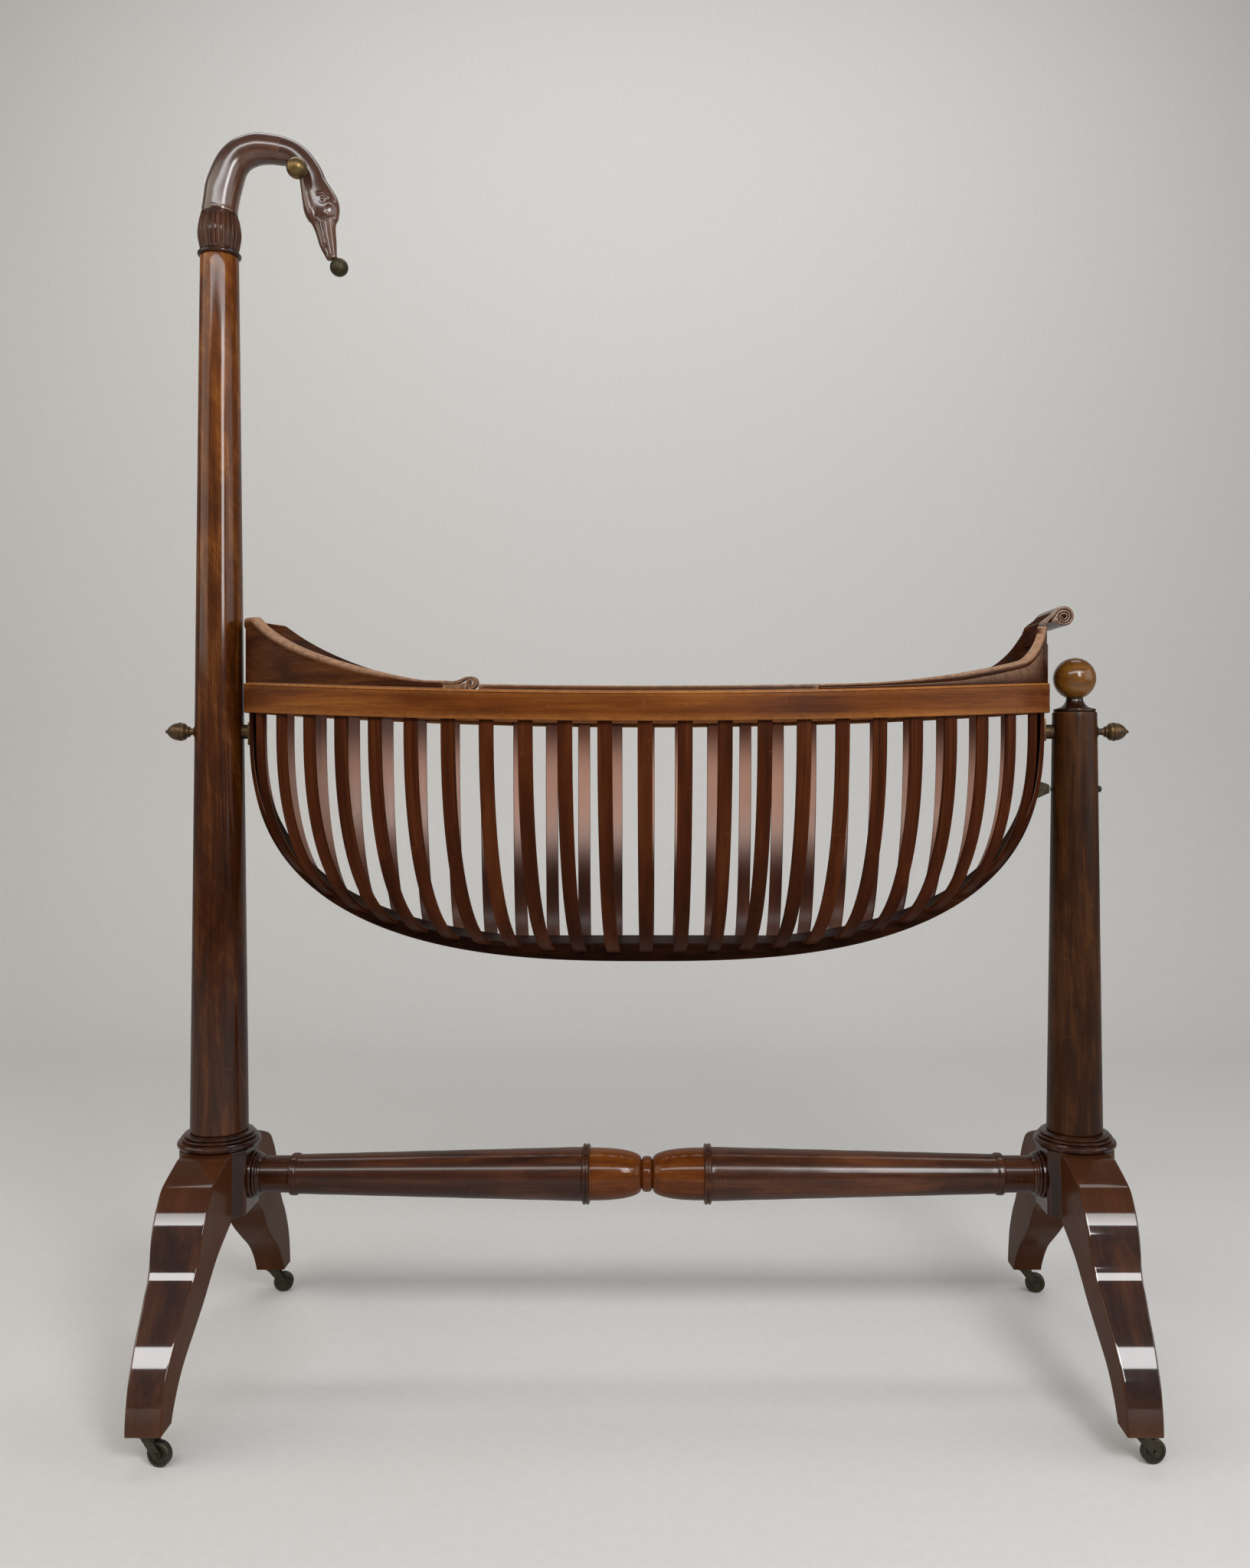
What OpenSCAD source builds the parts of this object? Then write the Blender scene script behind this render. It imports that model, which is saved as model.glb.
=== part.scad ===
// Swan-neck cradle on a wheeled stand, millimetres.
// The stand is two turned posts on splayed legs, tied by a turned stretcher.
// The tall head post ends in a swan's neck that holds a veil over the cradle.
// The basket is a boat of bent laths, hung on two bolts so that it swings.
//
// Frame: X runs along the cradle from the head post (-X) to the foot post (+X),
// Y runs from the near side (-Y) to the far side (+Y), Z is up.
// The origin is on the floor, midway between the posts.

/* [Posts] */
// Distance from each end of the rim to the axis of the post beside it
post_gap = 45; // [42:1:55]
// Height of the swing axis above the floor
pivot_z = 1053; // [1046:1:1060]
// Height of the top of the head post, under the neck ring
head_post_top_z = 1840; // [1500:10:1900]
// Height of the top of the foot post, under its cap
foot_post_top_z = 1085.5; // [1080:0.5:1094]
// Radius of the head post at its foot
head_post_base_r = 46.5; // [42:0.5:49]
// Radius of the head post at its top
head_post_tip_r = 31; // [29.5:0.5:34]
// Radius of the foot post at its foot
foot_post_base_r = 45; // [42:0.5:48]
// Radius of the foot post at its top
foot_post_tip_r = 36; // [34:0.5:38]
// Radius of the round tenon under each post
post_tenon_r = 25; // [18:1:28]
// Depth of that tenon in the hub
post_tenon_depth = 66; // [40:1:80]
// Radius of the round bead of each base ring
base_ring_r = 66.5; // [62:0.5:70]
// Height of each base ring
base_ring_h = 24; // [20:1:30]

/* [Hubs and legs] */
// Height of the top of the hubs and legs
hub_top_z = 368; // [350:1:390]
// Height of each hub block
hub_h = 106; // [96:1:116]
// Width of each hub across its flats
hub_w = 110; // [104:1:116]
// Width of the chamfer on each upright edge of a hub
hub_chamfer = 22; // [12:1:26]
// Distance from the middle plane to the tip of a toe
leg_reach = 320; // [300:5:360]
// Width of a leg under the base ring
leg_top_w = 80; // [70:1:86]
// Width of a leg at its toe
leg_toe_w = 52; // [46:1:58]

/* [Stretcher] */
// Height of the stretcher's axis above the floor
stretcher_z = 318.5; // [310:0.5:322]
// Radius of the stretcher at its two ends
stretcher_end_r = 29.5; // [24:0.5:32]
// Radius of the shaft beside each outer ring
stretcher_thin_r = 31.5; // [28:0.5:36]
// Radius of the shaft beside each inner ring
stretcher_thick_r = 43; // [38:0.5:46]
// Radius of the two outer rings
outer_ring_r = 34; // [32:0.5:38]
// Distance from each end of the shaft to its outer ring
outer_ring_inset = 58.7; // [30:0.1:120]
// Radius of the two inner rings
inner_ring_r = 49; // [46:0.5:54]
// Width of each ring
stretcher_ring_w = 12; // [8:1:16]
// Length of each turned cup
cup_length = 85; // [60:1:110]
// Radius of each cup at its ring
cup_r = 42; // [36:0.5:45]
// Radius of the bead in the middle
bead_r = 28.5; // [26:0.5:34]
// Width of that bead
bead_w = 19; // [12:1:26]
// Radius of the necks beside the bead
bead_neck_r = 23.5; // [16:0.5:25]
// Radius of the tenon at each end of the stretcher
stretcher_tenon_r = 15; // [10:0.5:20]
// Depth of that tenon in the hub
stretcher_tenon_depth = 24; // [14:1:26]
// Radius of the turned flange against each hub
flange_r = 38; // [32:0.5:42]
// Thickness of that flange
flange_t = 19; // [14:1:24]

/* [Casters] */
// Height of the legs' undersides above the floor
caster_h = 48.5; // [46:0.5:56]
// Radius of each wheel
wheel_r = 18; // [15:0.5:19]
// Width of each wheel
wheel_w = 12; // [9:0.5:14]
// Distance from the swivel axis to the axle
caster_trail = 19; // [12:1:22]
// Distance from the toe's tip to the swivel axis
caster_inset = 22; // [19:0.5:24]
// Radius of the swivel pin
swivel_r = 4; // [3:0.25:5]
// Length of the swivel pin above the fork
swivel_len = 28; // [20:1:34]
// Radius of the wheel's axle
axle_r = 2.5; // [2:0.25:3.5]
// Thickness of each cheek of a fork
cheek_t = 2.5; // [2:0.25:3.5]

/* [Swan] */
// Height of the thin ring under the collar
neck_ring_h = 8; // [6:0.5:12]
// Radius of that ring
neck_ring_r = 35; // [34.5:0.5:38]
// Height of the fluted collar
collar_h = 64; // [50:1:80]
// Radius of the collar at its bulge
collar_r = 35; // [33:0.5:38]
// Number of flutes round the collar
flutes = 22; // [16:1:28]
// Radius of each flute
flute_r = 3; // [1.5:0.25:3.5]
// Diameter of the neck where it leaves the collar
neck_d = 57; // [52:1:60]
// Radius of the tenon under the neck
neck_tenon_r = 12; // [9:0.5:15]
// Depth of that tenon in the head post
neck_tenon_depth = 50; // [30:1:80]
// Diameter of the ball in the beak
beak_ball_d = 30; // [22:1:34]
// Diameter of the knob at the throat
veil_knob_d = 34; // [26:1:38]

/* [Foot post finial] */
// Radius of the cap disc
cap_r = 34; // [30:0.5:36]
// Thickness of the cap disc
cap_t = 5.5; // [4:0.5:8]
// Height of the flared neck between cap and ball
cap_neck_h = 18; // [14:0.5:24]
// Diameter of the ball
finial_d = 69; // [60:1:72]

/* [Rim] */
// Half the length of the rim, outside
rim_a = 665; // [655:1:667]
// Half the width of the rim, outside
rim_b = 250; // [235:1:280]
// Thickness of the rim band
band_t = 8; // [6:0.5:10]
// Height of the band's lower edge at mid length
band_low_z = 1065; // [1060:1:1070]
// Height of the band at mid length
band_h = 44; // [38:1:50]
// Rise of the band's lower edge from mid length to the ends
sheer_low = 19; // [10:1:21]
// Rise of the band's upper edge from mid length to the ends
sheer_top = 23; // [12:1:28]
// Thickness of the inner hoop that clamps the laths
hoop_t = 6; // [4:0.5:8]
// Height from the band's lower edge to the hoop's
hoop_lift = 6; // [2:1:12]
// Thickness of the cap rail and of the two end boards
board_t = 14; // [10:0.5:16]
// Set-back of the cap rail and boards from the band's face
board_setback = 3; // [1:0.5:5]
// Height of the cap rail along the sides
cap_rail_h = 8; // [6:0.5:12]
// Height of the head board's two arms above the cap rail's level
head_arm = 4; // [2:1:8]
// Height of the head board above its arms
head_rise = 94; // [60:2:130]
// Length over which the head board sweeps down
head_sweep = 300; // [240:5:330]
// Length at the head end where the head board stays level
head_flat = 30; // [20:1:45]
// Height of the foot board's shoulder above the cap rail's level
foot_shoulder = 32; // [15:1:45]
// Height of the foot board's tongue above its shoulder
foot_tongue = 80; // [60:1:100]
// Radius of the rolled scroll on the foot board
foot_scroll_r = 16; // [12:0.5:19]
// Width of that scroll
foot_scroll_w = 90; // [60:2:100]
// Radius of the small scrolls at the head board's ends
head_scroll_r = 9.5; // [7:0.5:12]

/* [Laths and keel] */
// Number of lath places round the rim; the two at the ends stay empty
lath_places = 50; // [42:4:58]
// Width of a lath
lath_w = 22; // [16:1:26]
// Thickness of a lath
lath_t = 6; // [4:0.5:7]
// Height at which the laths turn straight up
shoulder_z = 1068; // [1064:1:1074]
// Depth of the laths below that height
lath_depth = 380; // [340:5:400]
// Fullness of the basket lengthwise
bow_end = 2.7; // [2.2:0.1:3]
// Fullness of the basket crosswise
bow_side = 2.2; // [2:0.1:2.6]
// Distance from the laths' lowest level to the keel's underside
keel_drop = 9; // [6:1:12]
// Thickness of the keel at mid length
keel_mid_t = 22; // [18:1:28]
// Thickness of the keel at its ends
keel_end_t = 14; // [11:0.5:18]
// Width of the keel at mid length
keel_mid_w = 96; // [80:2:130]
// Width of the keel at its ends
keel_end_w = 32; // [26:1:34]
// Half the length of the keel's flat top
keel_flat = 220; // [120:10:260]

/* [Pivots and lock] */
// Radius of the pivot bolts
bolt_r = 6; // [4.5:0.25:7]
// Radius of the acorn on each bolt
acorn_r = 15.5; // [12:0.5:18]
// Length of each acorn
acorn_len = 42; // [34:1:43]
// Distance from a post's axis to the tip of its acorn
acorn_reach = 90; // [86:1:98]
// Width of a pivot plate
plate_w = 30; // [26:1:34]
// Height of a pivot plate
plate_h = 44; // [36:1:46]
// Thickness of a pivot plate
plate_t = 3; // [2:0.25:4]
// Radius of the boss on a pivot plate
boss_r = 12; // [9.5:0.5:14]
// Height of the lock pin above the floor
lock_z = 958; // [945:1:970]
// Radius of the lock pin
lock_r = 3.5; // [2.5:0.25:4]
// Radius of the lock pin's knob
lock_knob_r = 5.5; // [5:0.25:7]
// Travel of the lock pin outwards
lock_travel = 6; // [3:0.5:8]

/* [Hidden] */
$fn = 64;

// Clearances
seat = 0.3;           // between pieces that rest against each other
fit = 0.1;            // round a pin that turns or slides
glue = 0.2;           // round a tenon in its socket

// Colours
dark_wood = [0.24, 0.12, 0.07];
warm_wood = [0.42, 0.21, 0.09];
lath_wood = [0.33, 0.15, 0.08];
brass = [0.66, 0.50, 0.27];
bronze = [0.20, 0.19, 0.15];

// Signs of the four corners of the stand
head = -1;
foot = 1;
near = -1;
far = 1;

post_x = rim_a + post_gap;
post_base_z = hub_top_z + base_ring_h;
hub_low_z = hub_top_z - hub_h;

// ---------------------------------------------------------------- helpers

function clamp01(t) = min(1, max(0, t));
function smoothstep(t) = let (c = clamp01(t)) c * c * (3 - 2 * c);

// Catmull-Rom curve through control points, with `n` steps a span
function spline(p, n) = let (last = len(p) - 1) [
    for (i = [0 : last - 1])
    let (a = p[max(i - 1, 0)], b = p[i], c = p[i + 1], d = p[min(i + 2, last)])
    for (j = [0 : n - 1])
    let (t = j / n)
    0.5 * (2 * b + (c - a) * t + (2 * a - 5 * b + 4 * c - d) * t * t
           + (3 * b - a - 3 * c + d) * t * t * t),
    p[last]
];

function reversed(p) = [for (i = [len(p) - 1 : -1 : 0]) p[i]];

// A line from the middle to the right, with its mirror image put before it
function both_ways(p) = concat(
    [for (i = [len(p) - 1 : -1 : 1]) [-p[i][0], p[i][1]]], p);

// Points on a circle from one angle to another
function arc(x, y, r, from, to, n) = [
    for (i = [0 : n]) let (t = from + (to - from) * i / n)
    [x + r * cos(t), y + r * sin(t)]];

// Outline of an ellipse as a polygon
ellipse_sides = 144;
function ellipse(a, b) = [
    for (i = [0 : ellipse_sides - 1])
    let (t = 360 * i / ellipse_sides) [a * cos(t), b * sin(t)]
];

// Turned shape whose profile is [height, radius] points, along +Z
module turned(profile) {
    rotate_extrude() polygon(concat(
        [[0, profile[0][0]]],
        [for (p = profile) [p[1], p[0]]],
        [[0, profile[len(profile) - 1][0]]]));
}

// Lays a shape that points along +Z along +X for side = 1, or -X for -1
module along_x(side) { rotate([0, 90 * side, 0]) children(); }

// Prism of an outline in the X-Z plane, across the whole cradle
module across(width) {
    translate([0, width / 2, 0]) rotate([90, 0, 0]) linear_extrude(width) children();
}

// ---------------------------------------------------------------- posts

head_slope = (head_post_base_r - head_post_tip_r) / (head_post_top_z - post_base_z);
foot_slope = (foot_post_base_r - foot_post_tip_r) / (foot_post_top_z - post_base_z);
function head_post_r(z) = head_post_base_r - head_slope * (z - post_base_z);
function foot_post_r(z) = foot_post_base_r - foot_slope * (z - post_base_z);

module post_shaft(base_r, tip_r, top_z) {
    rotate_extrude() polygon([
        [0, hub_top_z - post_tenon_depth], [post_tenon_r, hub_top_z - post_tenon_depth],
        [post_tenon_r, post_base_z], [base_r, post_base_z],
        [tip_r, top_z], [0, top_z]]);
}

module head_post() {
    color(dark_wood) translate([head * post_x, 0, 0]) difference() {
        post_shaft(head_post_base_r, head_post_tip_r, head_post_top_z);
        translate([0, 0, pivot_z]) along_x(head)
            cylinder(h = 4 * head_post_base_r, r = bolt_r + glue, center = true);
        translate([0, 0, head_post_top_z - neck_tenon_depth - 1])
            cylinder(h = neck_tenon_depth + 2, r = neck_tenon_r + glue);
    }
}

module foot_post() {
    color(dark_wood) translate([foot * post_x, 0, 0]) difference() {
        post_shaft(foot_post_base_r, foot_post_tip_r, foot_post_top_z);
        translate([0, 0, pivot_z]) along_x(foot)
            cylinder(h = 4 * foot_post_base_r, r = bolt_r + glue, center = true);
        translate([0, 0, lock_z]) along_x(foot)
            cylinder(h = 4 * foot_post_base_r, r = lock_r + fit, center = true);
    }
}

// Turned ring between post and hub: a fillet, a fat bead, two fine beads
module base_ring(side) {
    bead = base_ring_h * 0.27;
    fine = base_ring_h * 0.12;
    color(dark_wood) translate([side * post_x, 0, hub_top_z]) rotate_extrude()
    difference() {
        union() {
            square([base_ring_r - bead, base_ring_h - fine]);
            square([base_ring_r - 2 * bead, base_ring_h]);
            translate([base_ring_r - bead, bead]) circle(r = bead);
            translate([base_ring_r - bead, 2 * bead + fine]) circle(r = fine);
            translate([base_ring_r - bead - fine, base_ring_h - 2 * fine]) circle(r = fine);
        }
        translate([-1, -1]) square([post_tenon_r + glue + 1, base_ring_h + 2]);
        translate([0, -base_ring_h]) square([2 * base_ring_r, base_ring_h]);
    }
}

// ---------------------------------------------------------------- hubs and legs

module hub(side) {
    half = hub_w / 2;
    cut = half - hub_chamfer;
    color(dark_wood) difference() {
        translate([side * post_x, 0, hub_low_z]) linear_extrude(hub_h) polygon([
            [half, -cut], [half, cut], [cut, half], [-cut, half],
            [-half, cut], [-half, -cut], [-cut, -half], [cut, -half]]);
        translate([side * post_x, 0, hub_top_z - post_tenon_depth - seat])
            cylinder(h = post_tenon_depth + 2, r = post_tenon_r + glue);
        translate([side * (post_x - half - 1), 0, stretcher_z]) along_x(side)
            cylinder(h = stretcher_tenon_depth + seat + 1, r = stretcher_tenon_r + glue);
    }
}

// Point of a leg's side outline: u runs from hub to toe, v from floor end to top
leg_root = hub_w / 2 + seat;
function leg_point(u, v) = [leg_root + u * (leg_reach - leg_root),
                            caster_h + v * (hub_top_z - caster_h)];

// Upper edge of the leg, from under the base ring over the knee to the toe
leg_outer = [for (p = [
    [0.10, 1], [0.33, 0.93], [0.415, 0.865], [0.49, 0.77], [0.53, 0.69],
    [0.56, 0.615], [0.61, 0.55], [0.66, 0.51], [0.74, 0.435], [0.81, 0.375],
    [0.88, 0.30], [0.945, 0.215], [0.978, 0.14], [0.996, 0.06], [1, 0]
]) leg_point(p[0], p[1])];

// Under edge of the leg, from the toe back to the hub
leg_inner = [for (p = [
    [0.835, 0], [0.815, 0.035], [0.755, 0.11], [0.665, 0.195], [0.515, 0.295],
    [0.39, 0.385], [0.305, 0.465], [0.215, 0.54], [0.09, 0.605], [0, 0.645]
]) leg_point(p[0], p[1])];

leg_steps = 3;
leg_levels = 12;

// Half the width of a leg at a share v of its height
function leg_half_w(v) = leg_toe_w / 2
    + (leg_top_w - leg_toe_w) / 2 * smoothstep((v - 0.1) / 0.75);

socket_r = swivel_r + 2.5;
socket_len = swivel_len + 2;
caster_y = leg_reach - caster_inset;

module leg(side, front) {
    outline = concat([leg_point(0, 1)], spline(leg_outer, leg_steps),
                     spline(leg_inner, leg_steps));
    face = concat(
        [for (i = [0 : leg_levels]) let (v = i / leg_levels)
            [leg_half_w(v), leg_point(0, v)[1]]],
        [for (i = [leg_levels : -1 : 0]) let (v = i / leg_levels)
            [-leg_half_w(v), leg_point(0, v)[1]]]);
    color(dark_wood) difference() {
        translate([side * post_x, 0, 0]) intersection() {
            translate([-leg_top_w, 0, 0]) rotate([90, 0, 90]) linear_extrude(2 * leg_top_w)
                polygon([for (p = outline) [front * p[0], p[1]]]);
            across(3 * leg_reach) polygon(face);
        }
        translate([side * post_x, front * caster_y, caster_h - 1])
            cylinder(h = socket_len + seat + 1, r = socket_r + glue);
    }
}

// ---------------------------------------------------------------- stretcher

cup_start = bead_w / 2;
inner_ring_x = cup_start + cup_length;
shaft_start = inner_ring_x + stretcher_ring_w;
shaft_end = post_x - hub_w / 2 - flange_t - seat;
outer_ring_x = shaft_end - outer_ring_inset;
cup_steps = 10;
cup_bow = 2.3;

// Radius of the cup at a share t of its length, from neck to ring
function cup_radius(t) = bead_neck_r
    + (cup_r - bead_neck_r) * pow(1 - pow(1 - t, cup_bow), 1 / cup_bow);

module half_stretcher() {
    turned(concat(
        [[0, bead_r], [bead_w * 0.2, bead_r], [bead_w * 0.38, bead_r - 1.5],
         [cup_start, bead_neck_r]],
        [for (i = [1 : cup_steps]) let (t = pow(i / cup_steps, 2))
            [cup_start + t * cup_length, cup_radius(t)]],
        [[inner_ring_x, inner_ring_r - 2], [inner_ring_x + 2, inner_ring_r],
         [shaft_start - 2, inner_ring_r], [shaft_start, inner_ring_r - 2],
         [shaft_start, stretcher_thick_r], [outer_ring_x, stretcher_thin_r],
         [outer_ring_x, outer_ring_r - 1.5], [outer_ring_x + 1.5, outer_ring_r],
         [outer_ring_x + stretcher_ring_w - 1.5, outer_ring_r],
         [outer_ring_x + stretcher_ring_w, outer_ring_r - 1.5],
         [outer_ring_x + stretcher_ring_w, stretcher_end_r],
         [shaft_end, stretcher_end_r], [shaft_end, stretcher_tenon_r],
         [post_x - hub_w / 2 + stretcher_tenon_depth, stretcher_tenon_r]]));
}

module stretcher() {
    color(dark_wood) translate([0, 0, stretcher_z]) {
        along_x(head) half_stretcher();
        along_x(foot) half_stretcher();
    }
}

// Turned flange that covers the joint of stretcher and hub
module flange(side) {
    rim = flange_t * 0.3;
    color(dark_wood) translate([side * (post_x - hub_w / 2 - seat), 0, stretcher_z])
    along_x(-side) difference() {
        turned([[0, flange_r], [rim, flange_r], [rim, flange_r - 5],
                [2 * rim, flange_r - 2], [2.6 * rim, flange_r - 5],
                [2.6 * rim, stretcher_end_r + 1], [flange_t - seat, stretcher_end_r + 1]]);
        translate([0, 0, -1]) cylinder(h = flange_t + 2, r = stretcher_tenon_r + glue);
    }
}

// ---------------------------------------------------------------- casters

socket_flange_r = 16;
socket_flange_t = 3.5;
fork_top_z = caster_h - socket_flange_t - seat;
fork_plate_r = 13;
fork_plate_t = 3.5;
wheel_gap = wheel_w + 1;
eye_r = 6.5;
axle_head_r = 3.8;
axle_head_t = 1.5;

// How each caster is turned at rest, by [post, side]
function caster_yaw(side, front) = side == head ? (front == near ? -14 : 8)
                                                : (front == near ? 10 : -12);

module at_caster(side, front) {
    translate([side * post_x, front * caster_y, 0])
        rotate([0, 0, caster_yaw(side, front)]) children();
}

module caster_sockets() {
    color(bronze) for (side = [head, foot], front = [near, far])
        translate([side * post_x, front * caster_y, 0]) difference() {
            union() {
                translate([0, 0, caster_h - socket_flange_t])
                    cylinder(h = socket_flange_t - glue, r = socket_flange_r);
                translate([0, 0, caster_h - 1]) cylinder(h = socket_len + 1, r = socket_r);
            }
            translate([0, 0, caster_h - socket_flange_t - 1])
                cylinder(h = swivel_len + socket_flange_t + seat, r = swivel_r + fit);
        }
}

module fork(side, front) {
    low = fork_top_z - fork_plate_t;
    color(bronze) at_caster(side, front) {
        translate([0, 0, low]) cylinder(h = fork_plate_t, r = fork_plate_r);
        translate([0, 0, low]) cylinder(h = swivel_len, r = swivel_r);
        for (s = [-1, 1]) translate([0, s * (wheel_gap + cheek_t) / 2, 0]) difference() {
            across(cheek_t) union() {
                polygon([[-9, low + 1], [9, low + 1], [caster_trail + eye_r, wheel_r + 2],
                         [caster_trail, wheel_r - eye_r + 0.5],
                         [caster_trail - eye_r, wheel_r - 2]]);
                translate([caster_trail, wheel_r]) circle(r = eye_r);
            }
            translate([caster_trail, 0, wheel_r]) rotate([90, 0, 0])
                cylinder(h = 3 * cheek_t, r = axle_r + glue / 2, center = true);
        }
    }
}

module axle(side, front) {
    half = wheel_gap / 2 + cheek_t + glue;
    color(bronze) at_caster(side, front) translate([caster_trail, 0, wheel_r])
        rotate([90, 0, 0]) {
            cylinder(h = 2 * half, r = axle_r, center = true);
            for (s = [-1, 1]) translate([0, 0, s * (half + axle_head_t / 2)])
                cylinder(h = axle_head_t, r = axle_head_r, center = true);
        }
}

module wheel(side, front) {
    half = wheel_w / 2;
    rim_t = 5;
    web = 1.5;
    wheel_hub_r = axle_r + 3;
    color(bronze) at_caster(side, front) translate([caster_trail, 0, wheel_r])
        rotate([90, 0, 0]) rotate_extrude() polygon([
            [axle_r + fit, -half], [wheel_hub_r, -half], [wheel_hub_r, -half + web],
            [wheel_r - rim_t, -half + web], [wheel_r - rim_t, -half],
            [wheel_r - 1.5, -half], [wheel_r, -half + 1.5],
            [wheel_r, half - 1.5], [wheel_r - 1.5, half],
            [wheel_r - rim_t, half], [wheel_r - rim_t, half - web],
            [wheel_hub_r, half - web], [wheel_hub_r, half], [axle_r + fit, half]]);
}

// ---------------------------------------------------------------- swan

collar_z = head_post_top_z + neck_ring_h + seat;
neck_z = collar_z + collar_h + seat;

module neck_ring() {
    color(dark_wood) translate([head * post_x, 0, head_post_top_z + seat / 2])
    rotate_extrude() difference() {
        union() {
            square([neck_ring_r - neck_ring_h / 2, neck_ring_h]);
            translate([neck_ring_r - neck_ring_h / 2, neck_ring_h / 2])
                circle(r = neck_ring_h / 2);
        }
        translate([-1, -1]) square([neck_tenon_r + glue + 1, neck_ring_h + 2]);
    }
}

// Bulging collar with a flute cut down each facet
module swan_collar() {
    foot_r = head_post_tip_r - 0.5;
    profile = spline([[0, foot_r], [collar_h * 0.12, foot_r + 1.2], [collar_h * 0.45, collar_r],
                      [collar_h * 0.75, collar_r - 2], [collar_h, neck_d / 2 + 0.8]], 4);
    color(dark_wood) translate([head * post_x, 0, collar_z]) difference() {
        turned(profile);
        translate([0, 0, -1]) cylinder(h = collar_h + 2, r = neck_tenon_r + glue);
        for (i = [0 : flutes - 1]) rotate([0, 0, 360 * i / flutes])
            translate([collar_r + flute_r * 0.35, 0, 2])
                cylinder(h = collar_h * 0.82, r = flute_r, $fn = 24);
    }
}

// Stations of the swan: along X from the post's axis, height over the
// collar, thickness in the plane of the bend, and width across it
swan_stations = [
    [0, 0, 1, 1], [3, 23, 1, 1], [7.5, 46, 1.02, 1], [19, 78, 0.95, 0.96],
    [32, 95, 0.92, 0.92], [47, 104, 0.91, 0.9], [64, 108.5, 0.89, 0.86],
    [86, 108, 0.83, 0.82], [104, 105, 0.8, 0.78],
    [121, 100, 0.72, 0.72], [135, 90, 0.69, 0.68], [145, 78, 0.68, 0.66],
    [152.5, 64.5, 0.7, 0.64], [157, 48, 0.79, 0.64], [162, 33.5, 0.92, 0.66],
    [167.5, 18, 1.03, 0.68], [171, 4.3, 1.02, 0.66], [173.5, -8.5, 0.88, 0.58],
    [174.5, -17, 0.7, 0.5], [176.5, -29, 0.59, 0.44], [180.5, -50, 0.5, 0.36],
    [185.5, -69, 0.34, 0.26], [187, -74.5, 0.28, 0.22]];
swan_joint = 8;       // station where the head piece meets the neck piece
swan_sides = 24;

function swan_centre(i) = [swan_stations[i][0], swan_stations[i][1]];
function swan_dir(i) = let (
    a = swan_centre(max(i - 1, 0)),
    b = swan_centre(min(i + 1, len(swan_stations) - 1))) (b - a) / norm(b - a);
function swan_ring(i) = let (
    c = swan_centre(i), d = i == 0 ? [0, 1] : swan_dir(i),
    r_in = swan_stations[i][2] * neck_d / 2, r_side = swan_stations[i][3] * neck_d / 2)
    [for (k = [0 : swan_sides - 1]) let (t = 360 * k / swan_sides)
        [c[0] + r_in * cos(t) * d[1], r_side * sin(t), c[1] - r_in * cos(t) * d[0]]];

module swan_loft(first, last) {
    rings = last - first + 1;
    n = swan_sides;
    points = [for (i = [first : last]) each swan_ring(i)];
    faces = concat(
        [[for (k = [0 : n - 1]) k]],
        [[for (k = [n - 1 : -1 : 0]) (rings - 1) * n + k]],
        [for (i = [0 : rings - 2], k = [0 : n - 1]) let (m = (k + 1) % n)
            [i * n + k, (i + 1) * n + k, (i + 1) * n + m]],
        [for (i = [0 : rings - 2], k = [0 : n - 1]) let (m = (k + 1) % n)
            [i * n + k, (i + 1) * n + m, i * n + m]]);
    translate([head * post_x, 0, neck_z]) polyhedron(points, faces);
}

module swan_neck() {
    color(dark_wood) {
        swan_loft(0, swan_joint);
        translate([head * post_x, 0, head_post_top_z - neck_tenon_depth])
            cylinder(h = neck_tenon_depth + collar_h + neck_ring_h + 3, r = neck_tenon_r);
    }
}

module swan_head() { color(dark_wood) swan_loft(swan_joint, len(swan_stations) - 1); }

// Knob at the throat, on a short stem out of the near side of the neck
knob_station = 11;
knob_tilt = 16;       // dip of the stem below the level
knob_turn = -15;      // turn of the stem towards the head post
module veil_knob() {
    c = (swan_centre(knob_station) + swan_centre(knob_station + 1)) / 2;
    side_r = swan_stations[knob_station][3] * neck_d / 2;
    color(brass) translate([head * post_x + c[0], 0, neck_z + c[1]])
    rotate([90 + knob_tilt, 0, knob_turn]) translate([0, 0, side_r * 1.02 + 2 * seat]) {
        cylinder(h = 6, r = 5);
        translate([0, 0, veil_knob_d / 2 + 3]) sphere(d = veil_knob_d);
    }
}

// Ball at the tip of the beak, on a stem out of its outer half
module beak_ball() {
    last = len(swan_stations) - 1;
    d = swan_dir(last);
    off = swan_stations[last][2] * neck_d / 4;
    c = swan_centre(last) + d * seat + [-d[1], d[0]] * off;
    color(brass) translate([head * post_x + c[0], 0, neck_z + c[1]])
    rotate([0, atan2(d[0], d[1]), 0]) {
        cylinder(h = 6, r = 3.4);
        translate([-beak_ball_d * 0.12, 0, beak_ball_d * 0.53]) sphere(d = beak_ball_d);
    }
}

// ---------------------------------------------------------------- foot post finial

finial_seat_r = 13;
finial_drop = sqrt(pow(finial_d / 2, 2) - pow(finial_seat_r, 2));
finial_z = foot_post_top_z + seat / 2 + cap_t + cap_neck_h + finial_drop + seat / 2;

module post_cap() {
    waist = finial_seat_r + 0.5;
    color(dark_wood) translate([foot * post_x, 0, foot_post_top_z + seat / 2]) turned(concat(
        [[0, cap_r - 1], [1, cap_r], [cap_t - 1, cap_r], [cap_t, cap_r - 1]],
        [for (i = [0 : 8]) let (t = i / 8)
            [cap_t + t * cap_neck_h, waist + (cap_r - 7 - waist) * pow(1 - t, 2.4)]]));
}

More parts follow.
